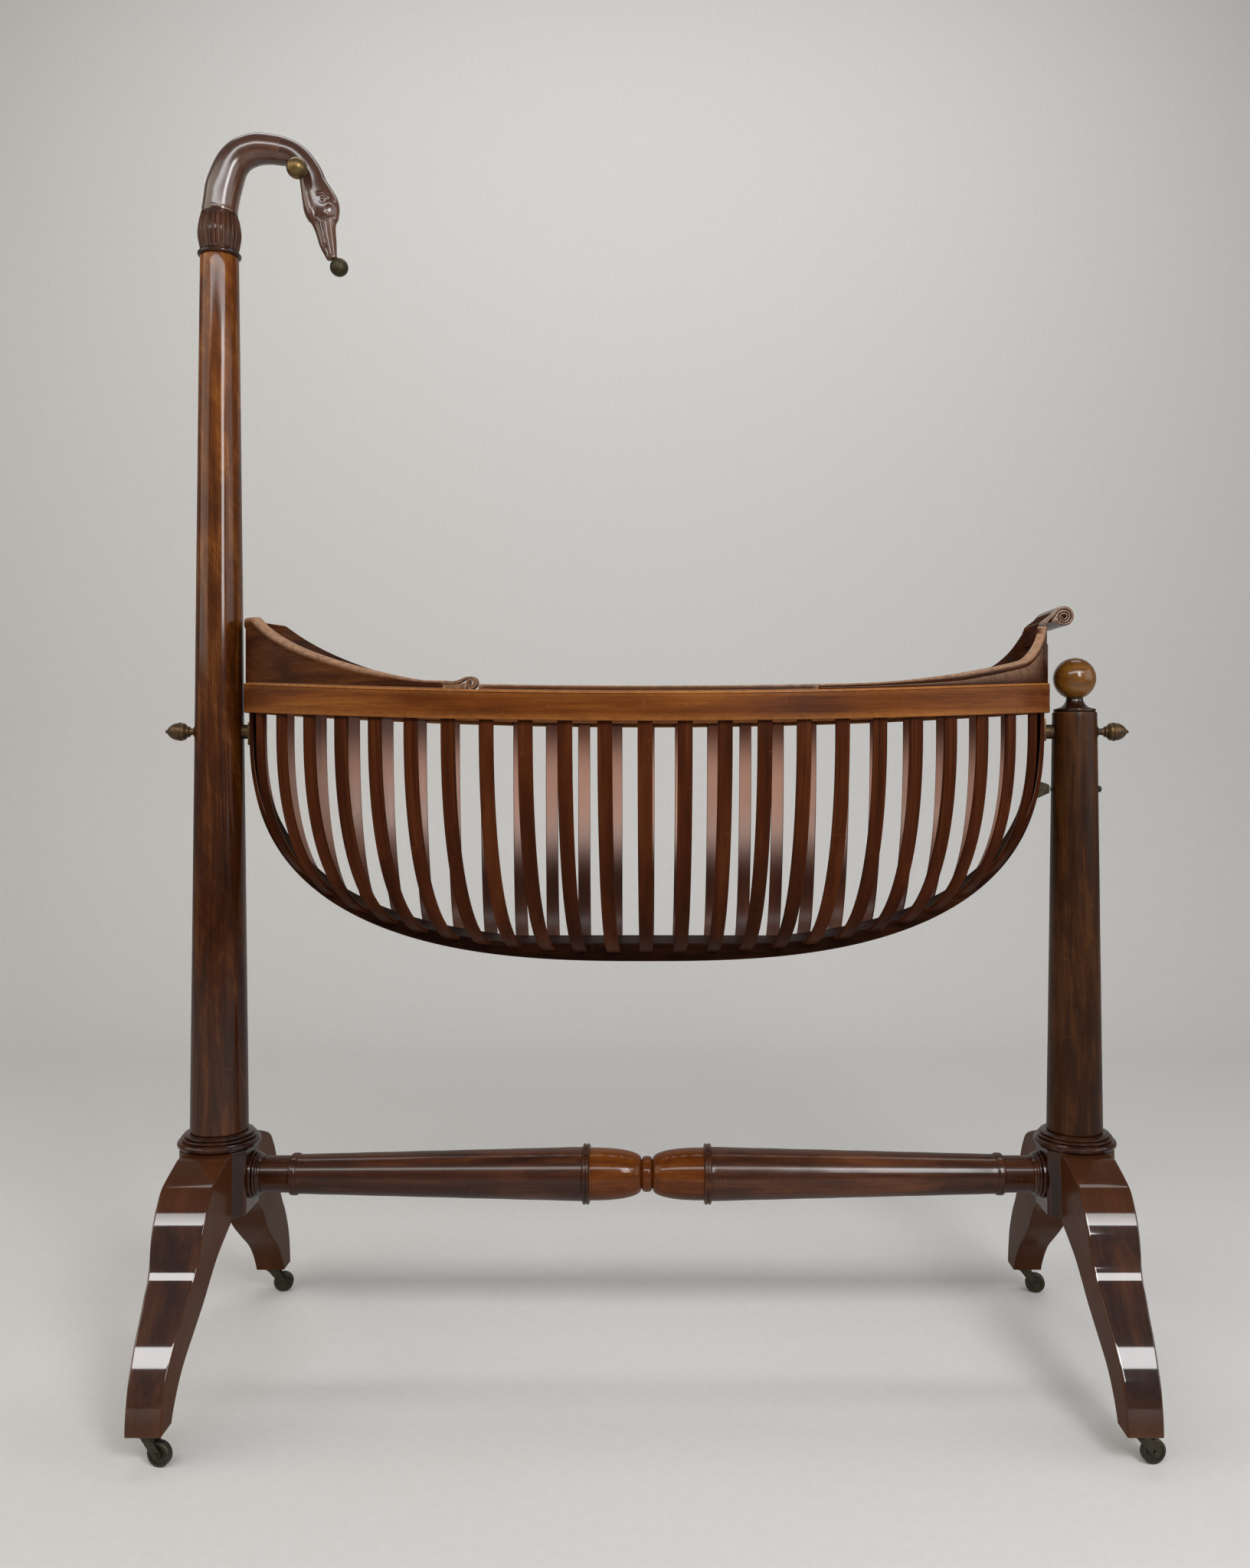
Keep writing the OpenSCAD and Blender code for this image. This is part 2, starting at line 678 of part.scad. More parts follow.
module finial_ball() {
    color(warm_wood) translate([foot * post_x, 0, finial_z]) intersection() {
        sphere(d = finial_d);
        translate([0, 0, -finial_drop]) cylinder(h = 2 * finial_d, r = finial_d);
    }
}

// ---------------------------------------------------------------- pivots and lock

// Bolt with an acorn head: it runs through the post into the keel's end
module pivot_bolt(side, post_r) {
    face = post_x + post_r;
    tip = post_x + acorn_reach - acorn_len;
    inner_end = keel_a - keel_end_t - 1;
    color(brass) translate([0, 0, pivot_z]) {
        translate([side * inner_end, 0, 0]) along_x(side)
            cylinder(h = face - inner_end + 1, r = bolt_r);
        translate([side * (face + glue), 0, 0]) along_x(side) turned(concat(
            [[0, bolt_r + 3], [1.5, bolt_r + 3], [2, bolt_r - 1],
             [tip - face - glue, bolt_r - 1]],
            [for (p = [[0.04, 0.55], [0.2, 0.86], [0.36, 0.92], [0.38, 1], [0.46, 1],
                       [0.48, 0.9], [0.62, 0.84], [0.76, 0.66], [0.88, 0.38],
                       [0.92, 0.2], [0.97, 0.18], [1, 0.08]])
                [tip - face - glue + p[0] * acorn_len, p[1] * acorn_r]]));
    }
}

module head_pivot_bolt() { pivot_bolt(head, head_post_r(pivot_z)); }
module foot_pivot_bolt() { pivot_bolt(foot, foot_post_r(pivot_z)); }

// Brass plate on the keel's end with a boss that turns on the bolt
module pivot_plate(side, post_r) {
    plate_x = keel_a + glue;
    boss_len = post_x - post_r - plate_x - 0.6;
    color(brass) translate([side * plate_x, 0, pivot_z]) along_x(side) difference() {
        union() {
            translate([-plate_h / 2, -plate_w / 2, 0])
                cube([plate_h * 0.85, plate_w, plate_t]);
            cylinder(h = boss_len, r = boss_r);
        }
        translate([0, 0, -1]) cylinder(h = boss_len + 2, r = bolt_r + fit);
    }
}

lock_tip_x = post_x - foot_post_r(lock_z) - 2;
lug_t = 16;

// Pin that slides through the foot post, with a small knob outside
module lock_pin() {
    out = post_x + foot_post_r(lock_z) + 0.6;
    color(brass) translate([0, 0, lock_z]) {
        translate([lock_tip_x, 0, 0]) along_x(foot)
            cylinder(h = out - lock_tip_x + 1, r = lock_r);
        translate([out, 0, 0]) along_x(foot) turned([
            [0, lock_r + 0.5], [1, lock_knob_r], [4, lock_knob_r], [6, lock_knob_r - 2]]);
    }
}

// Lug on the keel that the lock pin enters when the cradle is held still
module lock_lug() {
    root = keel_x_at(lock_z) + 0.4;
    tip = lock_tip_x - 4;
    color(brass) difference() {
        across(lug_t) polygon([
            [root - 5, lock_z - 17], [tip - 4, lock_z - 8], [tip, lock_z - 6],
            [tip, lock_z + 6], [tip - 4, lock_z + 9], [root - 5, lock_z + 15]]);
        keel_sides(glue);
        translate([tip - 9, 0, lock_z]) along_x(foot)
            cylinder(h = 12, r = lock_r + 0.4);
    }
}

// ---------------------------------------------------------------- basket shape

lath_a = rim_a - band_t - seat;
lath_b = rim_b - band_t - seat;
hoop_a = lath_a - lath_t - 1.1;
hoop_b = lath_b - lath_t - 1.1;
board_a = rim_a - board_setback;
board_b = rim_b - board_setback;
keel_sag = lath_a * (1 - sqrt(1 - pow(keel_end_w / 2 / lath_b, 2)));
keel_a = lath_a - keel_sag;
keel_depth = lath_depth + keel_drop;

function band_low(x) = band_low_z + sheer_low * pow(x / rim_a, 2);
function band_top(x) = band_low_z + band_h + sheer_top * pow(x / rim_a, 2);

// Height of the laths' outer surface over a point of the plan
function bowl_z(x, y) = let (
    vx = pow(x / lath_a, 2), vy = pow(y / lath_b, 2), s = vx + vy,
    v = min(1, sqrt(s)), n = (bow_end * vx + bow_side * vy) / s)
    shoulder_z - lath_depth * pow(1 - pow(v, n), 1 / n);

// Half the width of the keel
function keel_half(x) = keel_end_w / 2
    + (keel_mid_w - keel_end_w) / 2 * (1 - pow(x / keel_a, 2));

// Distance from the middle to the keel's outer face at a height
function keel_x_at(z) = keel_a
    * pow(1 - pow((shoulder_z - z) / keel_depth, bow_end), 1 / bow_end);

// Curve of a keel face from the middle out to one end
keel_steps = 20;
function keel_curve(a, depth) = [
    for (i = [0 : keel_steps]) let (t = 90 * i / keel_steps)
    [a * pow(sin(t), 2 / bow_end), shoulder_z - depth * pow(cos(t), 2 / bow_end)]];

keel_flat_z = shoulder_z - (keel_depth - keel_mid_t)
    * pow(1 - pow(keel_flat / (keel_a - keel_end_t), bow_end), 1 / bow_end);
keel_end_z = band_top(keel_a) - 6;

// Side outline of the keel: curved under, flat on top in the middle
module keel_outline(grow = 0) {
    under = concat(keel_curve(keel_a + grow, keel_depth + grow),
                   [[keel_a + grow, keel_end_z]]);
    over = concat([[0, keel_flat_z]],
                  [for (p = keel_curve(keel_a - keel_end_t, keel_depth - keel_mid_t))
                      if (p[1] > keel_flat_z) p],
                  [[keel_a - keel_end_t, keel_end_z]]);
    polygon(concat(both_ways(under), reversed(both_ways(over))));
}

// Plan of the keel as a prism, grown by a clearance
plan_steps = 12;
module keel_plan(grow) {
    side = [for (i = [-plan_steps : plan_steps])
        let (x = keel_a * sin(90 * i / plan_steps)) [x, keel_half(x) + grow]];
    translate([0, 0, shoulder_z - keel_depth - band_h])
        linear_extrude(keel_depth + 4 * band_h)
        polygon(concat(side, [for (p = reversed(side)) [p[0], -p[1]]]));
}

module keel_sides(grow) {
    across(3 * keel_mid_w) keel_outline(grow);
}

module keel() {
    color(dark_wood) difference() {
        intersection() {
            across(3 * keel_mid_w) keel_outline();
            keel_plan(0);
        }
        for (s = [head, foot]) translate([s * keel_a, 0, pivot_z]) along_x(s)
            cylinder(h = 4 * keel_end_t, r = bolt_r + 0.5, center = true);
    }
}

// ---------------------------------------------------------------- rim

// Upright elliptical wall, of which each rim piece is a slice
wall_low = band_low_z - band_h;
wall_h = 3 * band_h + sheer_top + cap_rail_h + head_rise + foot_shoulder + foot_tongue;
module wall(a, b, t) {
    translate([0, 0, wall_low]) linear_extrude(wall_h) difference() {
        polygon(ellipse(a, b));
        polygon(ellipse(a - t, b - t));
    }
}

// Slice of a wall between a lower and an upper edge, given along X
slice_steps = 20;
function span(x0, x1, steps) = [for (i = [0 : steps]) x0 + (x1 - x0) * i / steps];
module slice(lower, upper) {
    across(3 * rim_b) polygon(concat(lower, reversed(upper)));
}

rim_span = span(-rim_a - 2, rim_a + 2, slice_steps);

module rim_band() {
    color(warm_wood) intersection() {
        wall(rim_a, rim_b, band_t);
        slice([for (x = rim_span) [x, band_low(x)]], [for (x = rim_span) [x, band_top(x)]]);
    }
}

module inner_hoop() {
    color(dark_wood) difference() {
        intersection() {
            wall(hoop_a, hoop_b, hoop_t);
            slice([for (x = rim_span) [x, band_low(x) + hoop_lift]],
                  [for (x = rim_span) [x, band_top(x)]]);
        }
        keel_plan(2 * seat);
    }
}

// Top edge of the head board: a steep fall by the post, then a long low arm
function head_top(x) = let (r = 1 - clamp01((board_a + x - head_flat) / head_sweep))
    band_top(x) + cap_rail_h + head_arm
    + head_rise * (0.72 * pow(r, 1.3) + 0.28 * pow(r, 6));

// Top edge of the foot board: a long low shoulder and a steep tongue
shoulder_start = board_a - 362;
shoulder_end = board_a - 42;
tongue_start = board_a - 72;
function foot_top(x) = band_top(x) + cap_rail_h
    + foot_shoulder * pow(clamp01((x - shoulder_start) / (shoulder_end - shoulder_start)), 2)
    + foot_tongue * pow(clamp01((x - tongue_start) / (board_a - tongue_start)), 2.5);

head_board_end = -(board_a - head_flat - head_sweep) + 32;
scroll_tail = 52;
cap_rail_start = head_board_end + scroll_tail;
cap_rail_end = shoulder_start - 42;

module board_slice(x0, x1, steps, top) {
    xs = span(x0, x1, steps);
    slice([for (x = xs) [x, band_top(x) + glue]], [for (i = [0 : steps]) [xs[i], top[i]]]);
}

module head_board() {
    xs = span(-rim_a - 2, head_board_end, 28);
    color(warm_wood) intersection() {
        wall(board_a, board_b, board_t);
        board_slice(-rim_a - 2, head_board_end, 28, [for (x = xs) head_top(x)]);
    }
}

// Small scrolls that finish the head board's two arms
module head_scrolls() {
    r = head_scroll_r;
    eye_x = cap_rail_start - r - 1;
    start = head_board_end + seat;
    base = band_top(eye_x - r) + glue;
    under = [for (x = span(start, eye_x - r, 4)) [x, band_top(x) + glue]];
    color(warm_wood) intersection() {
        wall(board_a, board_b, board_t);
        across(3 * rim_b) polygon(concat(
            under, arc(eye_x, base + r, r, -90, 105, 14),
            [[eye_x - r, base + r * 1.8], [start + 22, base + r * 1.25],
             [start + 14, head_top(start) - 1], [start, head_top(start)]]));
    }
}

module cap_rail() {
    x0 = cap_rail_start + seat;
    x1 = cap_rail_end - seat;
    xs = span(x0, x1, 10);
    color(warm_wood) intersection() {
        wall(board_a, board_b, board_t);
        board_slice(x0, x1, 10, [for (x = xs) band_top(x) + cap_rail_h]);
    }
}

// Rolled scroll on top of the foot board, and the web that carries it
roll_x = board_a + foot_scroll_r + 1;
roll_z = band_top(board_a) + cap_rail_h + foot_shoulder + foot_tongue - 11;
web_low_z = roll_z - 45;
module foot_scroll() {
    color(warm_wood) across(foot_scroll_w) polygon(concat(
        [[board_a - 18, web_low_z], [board_a, web_low_z],
         [board_a, web_low_z + 14], [board_a + 1.5, roll_z - 19]],
        arc(roll_x, roll_z, foot_scroll_r, -130, 108, 26),
        [[board_a - 5, roll_z + 7], [board_a - 12, web_low_z + 37],
         [board_a - 16, web_low_z + 20]]));
}

module foot_board() {
    x0 = cap_rail_end;
    x1 = board_a + 1;
    xs = span(x0, x1, 40);
    color(warm_wood) difference() {
        intersection() {
            wall(board_a, board_b, board_t);
            board_slice(x0, x1, 40, [for (x = xs) foot_top(x)]);
        }
        across(foot_scroll_w + 2 * seat)
            translate([board_a - 20, web_low_z - seat]) square([40, 200]);
    }
}

// ---------------------------------------------------------------- laths

// Arc length along the lath ring from mid side to each angle, summed in steps
arc_steps = 180;
function ring_point(t) = [lath_a * sin(t), lath_b * cos(t)];
function arc_sums(i = 1, total = 0, out = [[0, 0]]) = i > arc_steps ? out :
    let (t0 = 90 * (i - 1) / arc_steps, t1 = 90 * i / arc_steps,
         sum = total + norm(ring_point(t1) - ring_point(t0)))
    arc_sums(i + 1, sum, concat(out, [[sum, t1]]));
arc_table = arc_sums();
quarter_arc = arc_table[arc_steps][0];
lath_pitch = 4 * quarter_arc / lath_places;
laths_per_arm = floor(lath_places / 4);

// Distance from the rim to the keel's side, along the inward normal
function reach_to_keel(top, n, d = 100, tries = 6) = tries == 0 ? d :
    reach_to_keel(top, n, (top[1] - keel_half(top[0] - d * n[0])) / n[1], tries - 1);

lath_steps = 14;
lath_overlap = 12;

// One lath in its own upright plane: plan distance inwards, and height
module lath(k, side) {
    t = lookup(abs(k) * lath_pitch, arc_table);
    ring = ring_point(t);
    slope = [ring[0] / pow(lath_a, 2), ring[1] / pow(lath_b, 2)];
    n = slope / norm(slope);
    bend_r = pow(pow(lath_a * cos(t), 2) + pow(lath_b * sin(t), 2), 1.5) / (lath_a * lath_b);
    sag = pow(lath_w / 2, 2) / (2 * bend_r);
    top = ring - sag * n;
    d_foot = reach_to_keel(top, n);
    d_end = d_foot + lath_overlap;
    sweep_end = 1;
    face = [for (i = [0 : lath_steps]) let (d = d_end * pow(i / lath_steps, 2.2),
                p = ring - d * n * sweep_end) [d, bowl_z(p[0], max(p[1], 0.01))]];
    inner = [for (i = [0 : lath_steps])
        let (a = face[max(i - 1, 0)], b = face[min(i + 1, lath_steps)],
             dir = (i == 0 ? [0, -1] : (b - a) / norm(b - a)))
        face[i] + lath_t * [-dir[1], dir[0]]];
    top_z = band_top(ring[0]) - 6;
    yaw = atan2(n[1], n[0]);
    mirror([k < 0 ? 1 : 0, 0, 0]) mirror([0, side < 0 ? 1 : 0, 0])
    translate([top[0], top[1], 0]) rotate([90, 0, yaw + 180])
        linear_extrude(lath_w, center = true)
            polygon(concat([[0, top_z]], face, reversed(inner), [[lath_t, top_z]]));
}

// A run of laths on one side, cut to sit against the keel
module lath_run(side, first, last) {
    color(lath_wood) difference() {
        union() for (k = [first : last]) lath(k, side);
        keel_plan(seat);
    }
}

middle_laths = 4;

// ---------------------------------------------------------------- nodes

head_post();
foot_post();
base_ring(head);  // head_base_ring
base_ring(foot);  // foot_base_ring
hub(head);  // head_hub
hub(foot);  // foot_hub
leg(head, near);  // head_front_leg
leg(head, far);  // head_back_leg
leg(foot, near);  // foot_front_leg
leg(foot, far);  // foot_back_leg
stretcher();
flange(head);  // head_flange
flange(foot);  // foot_flange
neck_ring();
swan_collar();
swan_neck();
swan_head();
veil_knob();
beak_ball();
post_cap();
finial_ball();
head_pivot_bolt();
foot_pivot_bolt();
caster_sockets();
lock_pin();
rim_band();
inner_hoop();
cap_rail();
head_board();
head_scrolls();
foot_board();
foot_scroll();
keel();
lath_run(near, -laths_per_arm, -middle_laths - 1);  // near_head_laths
lath_run(near, -middle_laths, middle_laths);  // near_middle_laths
lath_run(near, middle_laths + 1, laths_per_arm);  // near_foot_laths
lath_run(far, -laths_per_arm, -middle_laths - 1);  // far_head_laths
lath_run(far, -middle_laths, middle_laths);  // far_middle_laths
lath_run(far, middle_laths + 1, laths_per_arm);  // far_foot_laths
pivot_plate(head, head_post_r(pivot_z));  // head_pivot_plate
pivot_plate(foot, foot_post_r(pivot_z));  // foot_pivot_plate
lock_lug();
fork(head, near);  // head_front_fork
fork(head, far);  // head_back_fork
fork(foot, near);  // foot_front_fork
fork(foot, far);  // foot_back_fork
axle(head, near);  // head_front_axle
axle(head, far);  // head_back_axle
axle(foot, near);  // foot_front_axle
axle(foot, far);  // foot_back_axle
wheel(head, near);  // head_front_wheel
wheel(head, far);  // head_back_wheel
wheel(foot, near);  // foot_front_wheel
wheel(foot, far);  // foot_back_wheel
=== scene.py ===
# %% [markdown]
# # A swan-neck cradle, dressed in Blender
# The solids of the cradle come in as a fixed frame, already in their places, in metres.
# This lesson gives them the look of French-polished mahogany and old brass.
# Plain pieces keep their solid and get a finish. Turned, bent and carved pieces are
# built again as smooth meshes that stand where the solid stands.

# %% Load the frame
import math

import bmesh
import bpy
from mathutils import Matrix, Vector


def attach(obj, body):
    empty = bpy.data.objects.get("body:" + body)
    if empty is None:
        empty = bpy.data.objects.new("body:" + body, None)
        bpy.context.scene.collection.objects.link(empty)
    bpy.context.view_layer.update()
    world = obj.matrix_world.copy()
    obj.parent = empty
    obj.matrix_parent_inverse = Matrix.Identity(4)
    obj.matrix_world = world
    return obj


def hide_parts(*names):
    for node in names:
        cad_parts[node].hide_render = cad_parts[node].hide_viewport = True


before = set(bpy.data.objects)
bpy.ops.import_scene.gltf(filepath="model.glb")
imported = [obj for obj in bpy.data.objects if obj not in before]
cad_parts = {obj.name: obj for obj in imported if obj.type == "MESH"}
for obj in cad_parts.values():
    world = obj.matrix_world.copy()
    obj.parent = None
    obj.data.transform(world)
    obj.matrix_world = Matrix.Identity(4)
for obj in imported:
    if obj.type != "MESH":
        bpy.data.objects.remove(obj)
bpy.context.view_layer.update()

# %% [markdown]
# ## Sizes
# These are the sizes that the solids were made with, in metres. A piece that is built
# again has to stand exactly where its solid stands, so it starts from the same numbers.

# %% Sizes of the cradle
MM = 0.001
SEAT = 0.0003  # the gap left where one piece sits on another

# The stand. Heights end in Z.
POST_X = 0.710
PIVOT_Z = 1.053
HUB_TOP_Z = 0.368
POST_BASE_Z = 0.392
HEAD_POST_TOP_Z = 1.840
FOOT_POST_TOP_Z = 1.0855
STRETCHER_Z = 0.3185
SWAN_NECK_Z = 1.9126
CASTER_H = 0.0485
LEG_REACH = 0.320
HUB_FACE = 0.0553  # from a post's middle to the flat sides of its hub

# The basket. A is half the length of an ellipse, and B is half its width.
RIM_A, RIM_B = 0.665, 0.250
BAND_T = 0.008
BAND_LOW_Z, BAND_H = 1.065, 0.044
SHEER_LOW, SHEER_TOP = 0.019, 0.023  # how far the band's two edges rise to its ends
CAP_RAIL_H = 0.008
BOARD_SETBACK, BOARD_T = 0.003, 0.014
BOARD_A, BOARD_B = RIM_A - BOARD_SETBACK, RIM_B - BOARD_SETBACK
LATH_A, LATH_B = 0.6567, 0.2417
LATH_W, LATH_T = 0.022, 0.006
LATH_PLACES = 50
SHOULDER_Z, LATH_DEPTH = 1.068, 0.380
BOW_END, BOW_SIDE = 2.7, 2.2  # how square the bowl is, along the basket and across it
KEEL_A, KEEL_DEPTH = 0.6553, 0.389
KEEL_END_T, KEEL_MID_T = 0.014, 0.022
KEEL_END_W, KEEL_MID_W = 0.032, 0.096


def clamp01(t):
    return min(1.0, max(0.0, t))


def band_low(x):
    return BAND_LOW_Z + SHEER_LOW * (x / RIM_A) ** 2


def band_top(x):
    return BAND_LOW_Z + BAND_H + SHEER_TOP * (x / RIM_A) ** 2


def keel_half(x):
    return KEEL_END_W / 2 + (KEEL_MID_W - KEEL_END_W) / 2 * (1 - (x / KEEL_A) ** 2)


# %% [markdown]
# ## Shader maths as Python
# A finish is a small network of nodes. Wrapping a socket in a class lets the lesson
# write that network as sums and products, which reads like the idea behind it.

# %% Adding and feeding nodes
def feed(tree, socket, value):
    """Links a socket to another one, or gives it a plain value."""
    if isinstance(value, Sock):
        value = value.socket
    if isinstance(value, bpy.types.NodeSocket):
        tree.links.new(value, socket)
    else:
        socket.default_value = value


def add_node(tree, kind, settings=None, inputs=None):
    node = tree.nodes.new(kind)
    for key, value in (settings or {}).items():
        setattr(node, key, value)
    for key, value in (inputs or {}).items():
        feed(tree, node.inputs[key], value)
    return node


# %% A socket that can be added and multiplied
class Sock:
    """One output socket. Arithmetic on it adds Math nodes to its tree."""

    def __init__(self, finish, socket):
        self.finish, self.socket = finish, socket

    def _math(self, operation, *values, clamp=False):
        return self.finish.add(
            "ShaderNodeMath",
            {"operation": operation, "use_clamp": clamp},
            dict(enumerate(values)),
        )

    def __add__(self, other):
        return self._math("ADD", self, other)

    __radd__ = __add__

    def __sub__(self, other):
        return self._math("SUBTRACT", self, other)

    def __rsub__(self, other):
        return self._math("SUBTRACT", other, self)

    def __mul__(self, other):
        return self._math("MULTIPLY", self, other)

    __rmul__ = __mul__

    def clamp(self):
        return self._math("ADD", self, 0.0, clamp=True)

    def between(self, low, high):
        """0 below low, 1 above high, smooth between."""
        return self.finish.add(
            "ShaderNodeMapRange",
            {"interpolation_type": "SMOOTHSTEP"},
            {"Value": self, "From Min": low, "From Max": high},
        )


class Finish:
    """A material whose nodes are added one call at a time."""

    def __init__(self, name):
        self.material = bpy.data.materials.new(name)
        self.material.use_nodes = True
        self.tree = self.material.node_tree

    def add(self, kind, settings=None, inputs=None, output=0):
        return Sock(self, add_node(self.tree, kind, settings, inputs).outputs[output])

    def position(self):
        return self.add("ShaderNodeTexCoord", output="Object")

    def attribute(self, name, output="Vector"):
        return self.add("ShaderNodeAttribute", {"attribute_name": name}, output=output)

    def axes(self, vector):
        first = self.add("ShaderNodeSeparateXYZ", {}, {0: vector})
        return [Sock(self, output) for output in first.socket.node.outputs]

    def join(self, x, y, z):
        return self.add("ShaderNodeCombineXYZ", {}, {0: x, 1: y, 2: z})

    def scaled(self, vector, scale):
        return self.add("ShaderNodeVectorMath", {"operation": "MULTIPLY"}, {0: vector, 1: scale})

    def shifted(self, vector, other):
        return self.add("ShaderNodeVectorMath", {"operation": "ADD"}, {0: vector, 1: other})

    def noise(self, vector, scale=1.0, detail=3.0, roughness=0.55, distortion=0.0, output="Fac"):
        return self.add("ShaderNodeTexNoise", {},
                        {"Vector": vector, "Scale": scale, "Detail": detail,
                         "Roughness": roughness, "Distortion": distortion}, output)

    def bump(self, strength, distance, height):
        return self.add("ShaderNodeBump", {},
                        {"Strength": strength, "Distance": distance, "Height": height})

    def mix(self, share, a, b, blend="MIX"):
        """Two colours mixed; a plain colour is three numbers."""
        a, b = ((*c, 1) if isinstance(c, (tuple, list)) else c for c in (a, b))
        settings = {"data_type": "RGBA", "blend_type": blend}
        return self.add("ShaderNodeMix", settings, {0: share, 6: a, 7: b}, 2)

    def ramp(self, value, stops):
        ramp = self.add("ShaderNodeValToRGB", {}, {0: value})
        elements = ramp.socket.node.color_ramp.elements
        while len(elements) < len(stops):
            elements.new(0.5)
        for element, (place, colour) in zip(elements, stops):
            element.position = place
            element.color = (*colour, 1.0)
        return ramp

    def surface(self, **inputs):
        shader = self.tree.nodes["Principled BSDF"]
        for key, value in inputs.items():
            feed(self.tree, shader.inputs[key.replace("_", " ")], value)
        return self.material


print("shader helpers ready")

# %% [markdown]
# ## Mahogany
# Cuban mahogany polished with shellac is dark and deep. Its pores are short dark dashes
# along the grain, its colour drifts in long streaks, and the polish on top is a clear,
# nearly smooth coat. Noise that is stretched along the grain gives all of that.
# One recipe makes every wood of the cradle. Legs, hubs and keel are nearly black-brown,
# the rim and the cups are warmer, the ball is golden and the laths are redder. The coat is
# the polish: it is thick and clear on what was polished well, and thin and hazy on the
# rest. Where the edges stand proud, hands have rubbed them lighter: each mesh carries a
# `wear` value for that.
# On the band's edges, the boards' lips and the foot scroll, that `wear` value also carries painted
# highlight where those edges catch the light.

# %% How fine each part of the figure is
# Cells in a metre: along the grain, across it, and into the wood.
DRIFT = (1.6, 9, 9)
FIGURE = (4.2, 30, 30)
STREAKS = (7, 230, 230)
WAVES = (9, 24, 24)
PORES = (55, 1300, 1300)
RIPPLE = (70, 16, 16)
SCRATCHES = (300, 40, 80)
BEND = (0.02, 0.014, 0.014)  # how far the drift moves the grain, in metres
TO_MIDDLE = (-0.5, -0.5, -0.5)  # noise lies round 0.5, and this brings it round 0
BUMP_STRENGTH, BUMP_DEPTH = 0.35, 0.0010
PAINTED_SHEEN_LOW_EDGE, PAINTED_SHEEN_TOP_EDGE = 0.13, 0.11  # how softly the band of painted sheen starts and ends, in metres
print("figure sizes ready")


